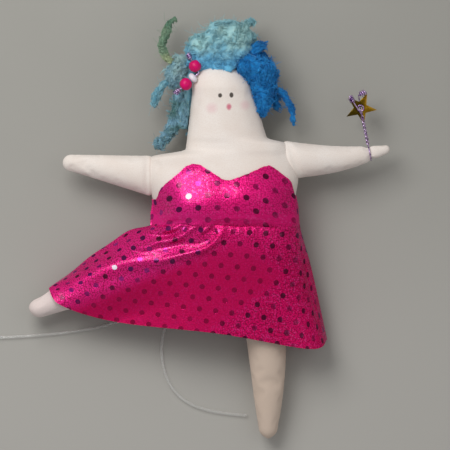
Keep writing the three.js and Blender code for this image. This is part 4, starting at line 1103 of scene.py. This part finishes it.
# wool, slot, line the lock follows, ringlets, their length and curl radius, looseness
hairSet = {
    "hair_crown": (aqua, "aqua_wool", [(-13.5, 107, 1), (4, 114, 3), (14, 116, 3), (28, 117, 1)],
                   420, (3, 7), (0.4, 1.1), 1.6),
    "hair_back_cap": (sea, "aqua_wool", [(8, 104, -6), (10, 84, -18), (12, 60, -16)],
                      150, (8, 14), (0.6, 1.2), 0.7),
    "hair_blue_lock": (blue, "blue_wool", [(28.5, 107, 0), (30, 101.5, 1), (33, 94.5, 1), (34, 85.5, 1),
                                           (34, 77, 1), (32.8, 70, 0)],
                       340, (3, 7), (0.4, 1.0), 1.2),
    "hair_blue_nub": (blue, "blue_wool", [(26.5, 109.8, 7.5), (31, 112.3, 6.5), (35, 114.8, 4)],
                      22, (4, 6), (0.3, 0.6), 0.3),
    "hair_blue_short_tail": (blue, "blue_wool", [(41, 86, -3), (42, 80, -5), (42.6, 74.5, -6)],
                             14, (4, 7), (0.25, 0.5), 0.2),
    "hair_blue_long_tail": (blue, "blue_wool", [(43, 86.5, 0), (47.5, 82.4, -1), (51, 77.5, -2),
                                                (52.6, 71, -4), (53.4, 64.4, -6)],
                            34, (5, 9), (0.25, 0.5), 0.2),
    "hair_left_mass": (massWool, "aqua_wool", [(-13, 104, -4), (-17.5, 100, -5), (-20, 95, -5),
                                               (-19, 89, -5)],
                       190, (4, 10), (0.5, 1.2), 1.5),
    "hair_green_curl": (sage, "sage_wool", [(-23.5, 103, -2), (-27.6, 108.5, -2), (-29.2, 115.5, -3),
                                            (-26.6, 121.5, -3), (-25.4, 126.6, -4), (-21.2, 130.3, -4)],
                        80, (4, 8), (0.5, 1.2), 0.6),
    "hair_left_loop": (loopWool, "sage_wool", [(-26, 92, -3), (-30.5, 86.5, -3), (-33.6, 80.5, -4),
                                               (-34.4, 75.8, -4)],
                       60, (4, 7), (0.3, 0.7), 0.5),
    "hair_left_hang": (mixed, "sage_wool", [(-19, 83.5, -3), (-19.6, 76, -3), (-21.4, 68, -3),
                                            (-24.6, 59.5, -4), (-32.4, 50.6, -5)],
                       150, (4, 10), (0.4, 1.1), 0.8),
    "hair_left_inner": (mixed, "aqua_wool", [(-15, 80, 0), (-16.4, 72, 1), (-17.6, 64, 1)],
                        60, (4, 7), (0.3, 0.9), 0.4),
    "hair_crown_curl": (aqua, "aqua_wool", [(22.5, 126.5, 0), (26, 128.3, 0), (29, 128.6, -1)],
                        18, (4, 6), (0.3, 0.8), 0.5),
}
strandSet = {"seed": 400, "strands": 7, "radius": 0.17, "points": 8, "bundle": 0.6, "loose": 0.3,
             "fuzz": 0.07, "fuzzShare": 1.3, "lowest": 0.4, "faceTop": 97.6, "faceX": 5, "faceHalf": 12,
             "faceRise": 4, "capX": 26, "capY": 84, "overCrown": 0.9, "lift": 0.15, "leave": 0.45,
             "back": 0.25, "turnRun": (3.2, 6.0), "tintShares": (5, 3, 3), "sameTint": 0.8, "lag": 0.35,
             "reach": (0.8, 1.15), "fuzzReach": (1.2, 3.2)}
coreSet = {"voxel": 1.1, "smoothing": 3, "lump": 0.55, "lumpSize": 3.4, "billow": 1.3, "billowSize": 9,
           "swell": 0.1, "fringeY": 110, "fringeRun": 9, "fringeX": 6, "fringeHalf": 16, "fringeEdge": 6,
           "fringeDrop": 4.6, "fringeRise": 2.4, "taper": 0.3, "taperY": 122, "taperRun": 8, "browY": 91,
           "browRun": 12, "browX": 35, "browEdge": 9, "browShift": (-5.5, 0, 4.5), "capTuck": 8, "capX": 20,
           "capEdge": 9, "capY": 90, "capRun": 10}
slimLocks = {"hair_green_curl": 0.62, "hair_blue_long_tail": 0.8, "hair_left_loop": 0.85}
crownTop = np.array([(-19, 115.4), (-9, 120.4), (-2.6, 121), (-0.4, 123.5), (1, 127.6), (9, 129.6), (22, 128),
                     (29, 124), (33, 117)])


def overCrown(x, y):
    return y - np.interp(x, crownTop[:, 0], crownTop[:, 1])


# a strand is left out where it would cover the face or reach the floor
def inTheWay(path):
    m = strandSet
    overFace = any(y < m["faceTop"] and z > seamZ + m["faceRise"] and abs(x - m["faceX"]) < m["faceHalf"]
                   for x, y, z in path)
    return overFace or min(p[2] for p in path) <= m["lowest"]


def woolCore(node, line, fullness):
    c = coreSet
    bm = bmesh.new()
    bm.from_mesh(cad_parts[node].data)
    bmesh.ops.remove_doubles(bm, verts=bm.verts, dist=1e-6)
    core = newObject(node + "_core", bm)
    remesh = core.modifiers.new("even", "REMESH")
    remesh.mode, remesh.voxel_size = "VOXEL", c["voxel"] * mm
    soft = core.modifiers.new("soft", "SMOOTH")
    soft.factor, soft.iterations = 0.5, c["smoothing"]
    applyModifiers(core)
    mesh = core.data
    for vert, normal in [(v, v.normal.copy()) for v in mesh.vertices]:
        lump = noise.fractal(vert.co / (c["lumpSize"] * mm), 0.8, 2.1, 3) * c["lump"]
        billow = noise.noise(vert.co / (c["billowSize"] * mm)) * c["billow"] * min(1, fullness[1] + 0.2)
        vert.co += normal * (lump + billow + c["swell"]) * mm
        x, y, z = np.array(vert.co) / mm - patternShift
        if node == "hair_crown":
            vert.co.y -= max(0, overCrown(x, y)) * mm
            if z > seamZ:  # the fringe comes down to the forehead
                down = float(ease((c["fringeY"] - y) / c["fringeRun"]))
                full = float(ease((c["fringeHalf"] - abs(x - c["fringeX"])) / c["fringeEdge"]))
                vert.co += Vector((0, -c["fringeDrop"], c["fringeRise"] * full)) * down * mm
        if node in slimLocks:
            middle = min(line, key=lambda p: (p - vert.co).length_squared)
            taper = c["taper"] * float(ease((y - c["taperY"]) / c["taperRun"]))
            taper = taper if node == "hair_green_curl" else 0
            vert.co = middle.lerp(vert.co, slimLocks[node] - taper)
        if node == "hair_blue_lock" and z > seamZ - 3:  # this lock comes in over the brow
            over = float(ease((y - c["browY"]) / c["browRun"]) * ease((c["browX"] - x) / c["browEdge"]))
            vert.co += Vector(c["browShift"]) * over * mm
        if node == "hair_back_cap":
            inward = float(ease((x - c["capX"]) / c["capEdge"]) * ease((c["capY"] - y) / c["capRun"]))
            vert.co.x -= c["capTuck"] * mm * inward
    mesh.update()
    return core


# walks a ringlet's middle line over the lock, giving place, outward way and heading at each step
def overLock(tree, start, heading, length, steps, leaves):
    walk, place = [], start
    for k in range(steps):
        hit, normal, _, _ = tree.find_nearest(place)
        heading = (heading - normal * heading.dot(normal)).normalized()
        away = normal * strandSet["leave"] * length * leaves * (k / steps) ** 2
        walk.append((hit + normal * strandSet["lift"] * mm + away, normal, heading))
        place = hit + heading * length / (steps - 1)
    return walk


def woolLock(node, number):
    m = strandSet
    tints, slot, spine, ringlets, lengths, curls, loose = hairSet[node]
    draw = random.Random(m["seed"] + number)
    line = [Vector(p) for p in toFrame([(p.x, p.y, p.z + seamZ) for p in smoothLine(spine, 8)])]
    core = woolCore(node, line, curls)
    places = core.data.polygons
    weights = np.cumsum([p.area for p in places])
    tree = BVHTree.FromObject(core, bpy.context.evaluated_depsgraph_get())
    bundle = m["bundle"] * (0.5 if node in slimLocks else 1) * mm
    paths, colours, fuzz = [], [], []

    def drawFace():
        return places[int(np.searchsorted(weights, draw.uniform(0, weights[-1] * 0.9999)))]

    for _ in range(ringlets):
        face = drawFace()
        near = min(range(len(line) - 1), key=lambda k: (line[k] - face.center).length_squared)
        along = (line[near + 1] - line[near]).normalized()
        heading = along + face.normal.cross(along) * draw.gauss(0, loose)
        heading = -heading if draw.random() < m["back"] * loose else heading
        length, curl = draw.uniform(*lengths) * mm, draw.uniform(*curls) * mm
        leaves = 1.0 if draw.random() < m["loose"] and node not in slimLocks else 0.0
        walk = overLock(tree, face.center.copy(), heading, length, m["points"], leaves)
        turns, phase = length / mm / draw.uniform(*m["turnRun"]), draw.uniform(0, 2 * math.pi)
        tint = draw.choices((0, 1, 2), m["tintShares"])[0]
        for _ in range(m["strands"]):
            off = Vector([draw.gauss(0, bundle) for _ in range(3)])
            lag, reach = draw.gauss(0, m["lag"]), draw.uniform(*m["reach"])
            path = []
            for k, (place, normal, ahead) in enumerate(walk):
                turn = phase + lag + 2 * math.pi * turns * k / len(walk)
                path.append(place + off * (0.6 + 0.5 * k / len(walk)) + normal * curl * reach * math.cos(turn)
                            + normal.cross(ahead) * curl * reach * math.sin(turn))
            path = [Vector(np.array(p) / mm - patternShift) for p in path]
            stray = node == "hair_back_cap" and any(p.x > m["capX"] and p.y < m["capY"] for p in path)
            if node == "hair_crown":
                stray = any(overCrown(p.x, p.y) > m["overCrown"] for p in path)
            if not stray and not inTheWay(path):
                paths.append(path)
                colours.append(tint if draw.random() < m["sameTint"] else draw.randrange(3))
    for _ in range(round(ringlets * m["fuzzShare"])):  # fine loose fibres that soften the outline
        face = drawFace()
        way = face.normal * 0.7 + Vector([draw.gauss(0, 0.6) for _ in range(3)])
        bend, reach = Vector([draw.gauss(0, 0.5) for _ in range(3)]), draw.uniform(*m["fuzzReach"])
        fibre = [np.array(face.center) / mm - patternShift + np.array(way * t + bend * t * t) * reach
                 for t in (0, 0.3, 0.6, 0.85, 1.1)]
        if not inTheWay(fibre):
            fuzz.append(fibre)
    wool = tubeMesh(node + "_strands", paths, m["radius"], 0, colours)
    fluff = tubeMesh(node + "_fuzz", fuzz, m["fuzz"], 0, [draw.randrange(3) for _ in fuzz])
    bm = bmesh.new()
    for mesh in (core.data, wool, fluff):
        bm.from_mesh(mesh)
    bpy.data.objects.remove(core)
    lock = newObject(node.replace("hair_", "wool_"), bm, *tints)
    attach(lock, "torso")
    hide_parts(node)
    print("  ", lock.name, len(paths), "strands", len(lock.data.polygons), "faces")


for number, node in enumerate(hairSet):
    woolLock(node, number)
print("hair laid")


# turned wooden beads on the hair wire
beadSet = {"diameter": 7.8, "length": 7.2, "flat": 68, "hole": 1.7, "discDiameter": 6.6, "discLength": 3.6,
           "discFlat": 55, "steps": 14, "segments": 56, "vertex": (-5.9, 96.8), "rise": 8.8,
           "upperTurn": 121, "lowerTurn": 221, "upperReach": 4.8, "discReach": 5.0, "gap": 0.4}


def glossPaint(name, low, high, worn):
    material, tone, shader = newMaterial(name, Coat_Weight=0.12, Coat_Roughness=0.1, Specular_IOR_Level=0.2)
    place = inMillimetres(tone)
    cloud = cloudNoise(place, 0.35, 3)
    grain = tone.node("ShaderNodeTexWave", {"bands_direction": "Z"},
                      {"Vector": place, "Scale": 0.5, "Distortion": 3.0, "Detail": 2.0})
    colour = blendColour(softStep(cloud, 0.3, 0.7), low, high)
    colour = blendColour(softStep(grain, 0.86, 1.0) * 0.25, colour, worn)
    feed(shader, Base_Color=colour, Roughness=0.3 + cloud * 0.16,
         Normal=bumpy(grain * 0.4 + cloud, 0.00008))
    return material


pinkPaint = glossPaint("pink_wood", paint(196, 0, 88), paint(218, 0, 106), paint(144, 0, 60))
whitePaint = glossPaint("white_wood", paint(226, 218, 226), paint(240, 236, 240), paint(206, 196, 206))


def spunBead(name, diameter, length, flat, place, axis, material):
    hole, half = beadSet["hole"] / 2, length / 2
    steps = beadSet["steps"]
    turns = [math.radians(mix(-flat, flat, k / steps)) for k in range(steps + 1)]
    outer = [(max(diameter / 2 * math.cos(a), hole + 0.25), half * math.sin(a) / math.sin(math.radians(flat)))
             for a in turns]
    lip = [(hole, half - 0.5), (hole + 0.1, half - 0.08)]
    profile = [*[(r, -h) for r, h in lip], *outer, *lip[::-1]]
    bm = bmesh.new()
    verts = [bm.verts.new((r * mm, 0, h * mm)) for r, h in profile]
    edges = [bm.edges.new(pair) for pair in zip(verts, verts[1:] + verts[:1])]
    bmesh.ops.spin(bm, geom=verts + edges, cent=(0, 0, 0), axis=(0, 0, 1), angle=2 * math.pi,
                   steps=beadSet["segments"], use_merge=True)
    bmesh.ops.remove_doubles(bm, verts=bm.verts, dist=1e-7)
    bmesh.ops.recalc_face_normals(bm, faces=bm.faces)
    turn = Vector((0, 0, 1)).rotation_difference(Vector(axis)).to_matrix().to_4x4()
    bmesh.ops.transform(bm, matrix=Matrix.Translation(toFrame(place)[0]) @ turn, verts=bm.verts)
    return newObject(name, bm, material)


upperAxis, lowerAxis = turned(beadSet["upperTurn"]), turned(beadSet["lowerTurn"])
vertex = Vector((*beadSet["vertex"], seamZ + beadSet["rise"]))
upperReach, discReach = beadSet["upperReach"], beadSet["discReach"]
lowerReach = discReach + beadSet["discLength"] / 2 + beadSet["gap"] / 2 + beadSet["diameter"] / 2
for part, diameter, length, flat, axis, reach, material in (
        ("upper", beadSet["diameter"], beadSet["length"], beadSet["flat"], upperAxis, upperReach, pinkPaint),
        ("disc", beadSet["discDiameter"], beadSet["discLength"], beadSet["discFlat"], lowerAxis, discReach,
         whitePaint),
        ("lower", beadSet["diameter"], beadSet["length"], beadSet["flat"], lowerAxis, lowerReach, pinkPaint)):
    bead = spunBead("turned_bead_" + part, diameter, length, flat, vertex + axis * reach, axis, material)
    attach(bead, part + "_bead")
    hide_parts("bead_" + part)
    "white_wood" if part == "disc" else "pink_wood"
print("beads threaded")


# lilac craft wire: the hair pin and the wand
wireSet = {"diameter": 0.8, "gap": 0.55, "clear": 0.4, "turnSteps": 8, "coilTurns": 3.5, "coilPitch": 1.25,
           "coilRadius": 1.6, "coilLead": 0.5}
wireRadius = wireSet["diameter"] / 2


def wireMaterial():
    material, tone, shader = newMaterial("purple_wire", Metallic=0.9, Coat_Weight=0.3, Coat_Roughness=0.1)
    cloud = cloudNoise(inMillimetres(tone), 0.6, 2)
    # painted highlight and painted shade at random along the wire: its colour runs from dark purple to
    # near-white lilac
    colour = blendColour(softStep(cloud, 0.35, 0.65), paint(108, 64, 138), paint(224, 196, 232))
    feed(shader, Base_Color=colour, Roughness=0.2 + cloud * 0.14)
    return material


purpleWire = wireMaterial()


def coil(start, direction):
    along = direction.normalized()
    across = (Vector((0, 0, 1)) - along * along.z).normalized()
    third = along.cross(across)
    steps = wireSet["turnSteps"]
    points = []
    for k in range(1, round(wireSet["coilTurns"] * steps) + 1):
        turn, radius = k / steps * 2 * math.pi, wireSet["coilRadius"] * float(ease(k / 5))
        points.append(start + along * (k / steps * wireSet["coilPitch"] + wireSet["coilLead"])
                      + across * radius * math.cos(turn) + third * radius * math.sin(turn))
    return points


def wirePiece(name, points, node, body):
    line = smoothLine(points, 4)
    wire = newObject(name, tubeMesh(name, [line], wireRadius, 3), purpleWire)
    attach(wire, body)
    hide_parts(node)


upperEnd = vertex + upperAxis * (upperReach + beadSet["diameter"] / 2 + beadSet["gap"])
lowerEnd = vertex + lowerAxis * (lowerReach + beadSet["diameter"] / 2 + beadSet["gap"])
bend = [vertex + axis * far for axis, far in ((upperAxis, 0.75), (upperAxis, 0.25), (lowerAxis, 0.25),
                                              (lowerAxis, 0.75))]
pinLine = [*coil(upperEnd, upperAxis)[::-1], upperEnd, vertex + upperAxis * upperReach, *bend,
           vertex + lowerAxis * lowerReach, lowerEnd, *coil(lowerEnd, lowerAxis)]
wirePiece("hair_pin", pinLine, "hair_wire", "torso")

# the wand: a loop round the wrist, a twisted stem, a ring on the star and two coiled ends
wandSet = {"turn": 101.5, "stem": 18.5, "twists": 4, "wrist": 45.6, "loopTurns": (26, 334), "loopSteps": 20,
           "starReach": 4.6, "ringRadius": 1.9, "ringTurns": (-80, 250), "ringSteps": 10, "notchTurn": 104}
starSet = {"turn": -5.5, "radius": 10.3, "notch": 4.3, "thickness": 0.5, "hole": 2.2, "bevel": 0.1}
armWidth, armMiddle, armDepth = (float(a) for a in limbSection("left_arm", np.array(wandSet["wrist"])))
wrist = limbMatrix("left_arm") @ Vector((wandSet["wrist"], armMiddle, 0))
wandUp = turned(wandSet["turn"])
wandSide = Vector((0, 0, 1)).cross(wandUp)


def onWand(up, side, front):
    return wrist + wandUp * up + wandSide * side + Vector((0, 0, front))


loopUp, loopFront = armWidth + wireRadius + 0.75, rim + armDepth + wireRadius + 0.35
stemStart, stemEnd = loopUp + 1, loopUp + 1 + wandSet["stem"]
strandGap = (wireSet["diameter"] + wireSet["gap"]) / 2


def stemRun(phase):
    steps = wandSet["twists"] * wireSet["turnSteps"]
    turns = [2 * math.pi * k / wireSet["turnSteps"] + phase for k in range(steps + 1)]
    return [onWand(mix(stemStart, stemEnd, k / steps), strandGap * math.sin(a), strandGap * math.cos(a))
            for k, a in enumerate(turns)]


def turnsOf(key):
    steps = wandSet[key + "Steps"]
    return [(k / steps, math.radians(mix(*wandSet[key + "Turns"], k / steps))) for k in range(steps + 1)]


loop = [onWand(loopUp * math.cos(a), 0, loopFront * math.sin(a)) for _, a in turnsOf("loop")]
starUp = stemEnd + wandSet["starReach"]
offStar = starSet["thickness"] / 2 + wireSet["clear"] + wireRadius
starFront = -(strandGap + offStar)
frontRun, backRun = starFront + offStar, starFront - offStar
ringRadius = wandSet["ringRadius"]
ring = [onWand(starUp + ringRadius * math.sin(a), -ringRadius * math.cos(a), frontRun + mix(1.2, 0.15, share))
        for share, a in turnsOf("ring")]
notchTurn = math.radians(starSet["turn"] + wandSet["notchTurn"] - wandSet["turn"])


def toNotch(reach, front):
    return onWand(starUp + reach * math.cos(notchTurn), reach * math.sin(notchTurn), front)


coilA, leadA = onWand(stemEnd + 8.6, 3.4, 2.4), onWand(stemEnd + 2.2, 0.7, 1.7)
coilB = toNotch(8.2, frontRun + 1.3)
wandLine = [*coil(coilA, coilA - leadA)[::-1], coilA, leadA, *stemRun(0)[::-1], *loop, *stemRun(math.pi),
            onWand(stemEnd + 1.6, -0.3, frontRun + 0.7), *ring, onWand(starUp - 0.5, 0.2, frontRun - 0.35),
            onWand(starUp, 0, starFront), onWand(starUp + 0.5, 0, backRun + 0.25), toNotch(2, backRun),
            toNotch(6.3, backRun), toNotch(7.4, starFront), toNotch(7.7, frontRun), coilB,
            *coil(coilB, wandUp * 0.3 - wandSide)]
wirePiece("wand_stem", wandLine, "wand_wire", "left_arm")
print("wire bent")


# gold sheet star with a hole for the wire
def goldMaterial():
    material, tone, shader = newMaterial("gold_sheet", Metallic=1.0)
    place = inMillimetres(tone)
    cloud = cloudNoise(place, 0.12, 2)
    fine = cloudNoise(place, 1.2, 2)
    colour = blendColour(softStep(cloud, 0.4, 0.62), paint(150, 112, 24), paint(196, 156, 52))
    x, _, _ = axes(place)
    # painted reflection: the star's left half is painted dark olive, where its arms reflect dark
    paintedDarkReflection = softStep(x - float(starCentre.x) + (cloud - 0.5) * 9, 2.6, -1.6)
    colour = blendColour(paintedDarkReflection * 0.9, colour, paint(72, 60, 12))
    feed(shader, Base_Color=colour, Roughness=0.14 + fine * 0.14, Normal=bumpy(fine, 0.00006))
    return material


starCentre = onWand(starUp, 0, starFront)
tipReach, notchReach = starSet["radius"], starSet["notch"]
edgeReach = tipReach * notchReach / (tipReach + notchReach) * 2 * math.cos(math.radians(18))
bm = bmesh.new()
for vert in bmesh.ops.create_circle(bm, segments=20, radius=1)["verts"]:
    turn = math.atan2(vert.co.y, vert.co.x)
    reach = (tipReach, edgeReach, notchReach, edgeReach)[round(math.degrees(turn) / 18) % 4]
    vert.co = Vector((math.cos(turn), math.sin(turn), 0)) * reach * mm
bmesh.ops.create_circle(bm, segments=20, radius=starSet["hole"] / 2 * mm)
bmesh.ops.bridge_loops(bm, edges=bm.edges[:])
lifted = bmesh.ops.extrude_face_region(bm, geom=bm.faces[:])["geom"]
bmesh.ops.translate(bm, verts=[g for g in lifted if isinstance(g, bmesh.types.BMVert)],
                    vec=(0, 0, starSet["thickness"] * mm))
bmesh.ops.recalc_face_normals(bm, faces=bm.faces)
sharp = [e for e in bm.edges if len(e.link_faces) == 2 and e.calc_face_angle(0) > 0.8]
bmesh.ops.bevel(bm, geom=sharp, offset=starSet["bevel"] * mm, affect="EDGES", segments=2, profile=0.5,
                material=-1)
turn = Matrix.Rotation(math.radians(starSet["turn"]), 4, "Z")
lower = Matrix.Translation((0, 0, -starSet["thickness"] / 2 * mm))
bmesh.ops.transform(bm, matrix=Matrix.Translation(toFrame(starCentre)[0]) @ turn @ lower, verts=bm.verts)
star = newObject("gold_star", bm, goldMaterial())
star.data.set_sharp_from_angle(angle=math.radians(25))
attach(star, "star")
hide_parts("wand_star")

# sewn tab that holds the tie
tabSet = {"place": (8, -28, 2.1), "size": (9, 5, 2.6), "bevel": 0.8}
bm = bmesh.new()
bmesh.ops.create_cube(bm, size=1)
bmesh.ops.scale(bm, verts=bm.verts, vec=Vector(tabSet["size"]) * mm)
bmesh.ops.bevel(bm, geom=bm.edges[:], offset=tabSet["bevel"] * mm, affect="EDGES", segments=4, profile=0.5,
                material=-1)
bmesh.ops.translate(bm, verts=bm.verts, vec=toFrame(tabSet["place"])[0])
layMap(bm, lambda x, y, z: (x, y))
tab = newObject("tie_tab_sewn", bm, foil)
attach(tab, "torso")
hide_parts("tie_tab")
print("star and tab made")
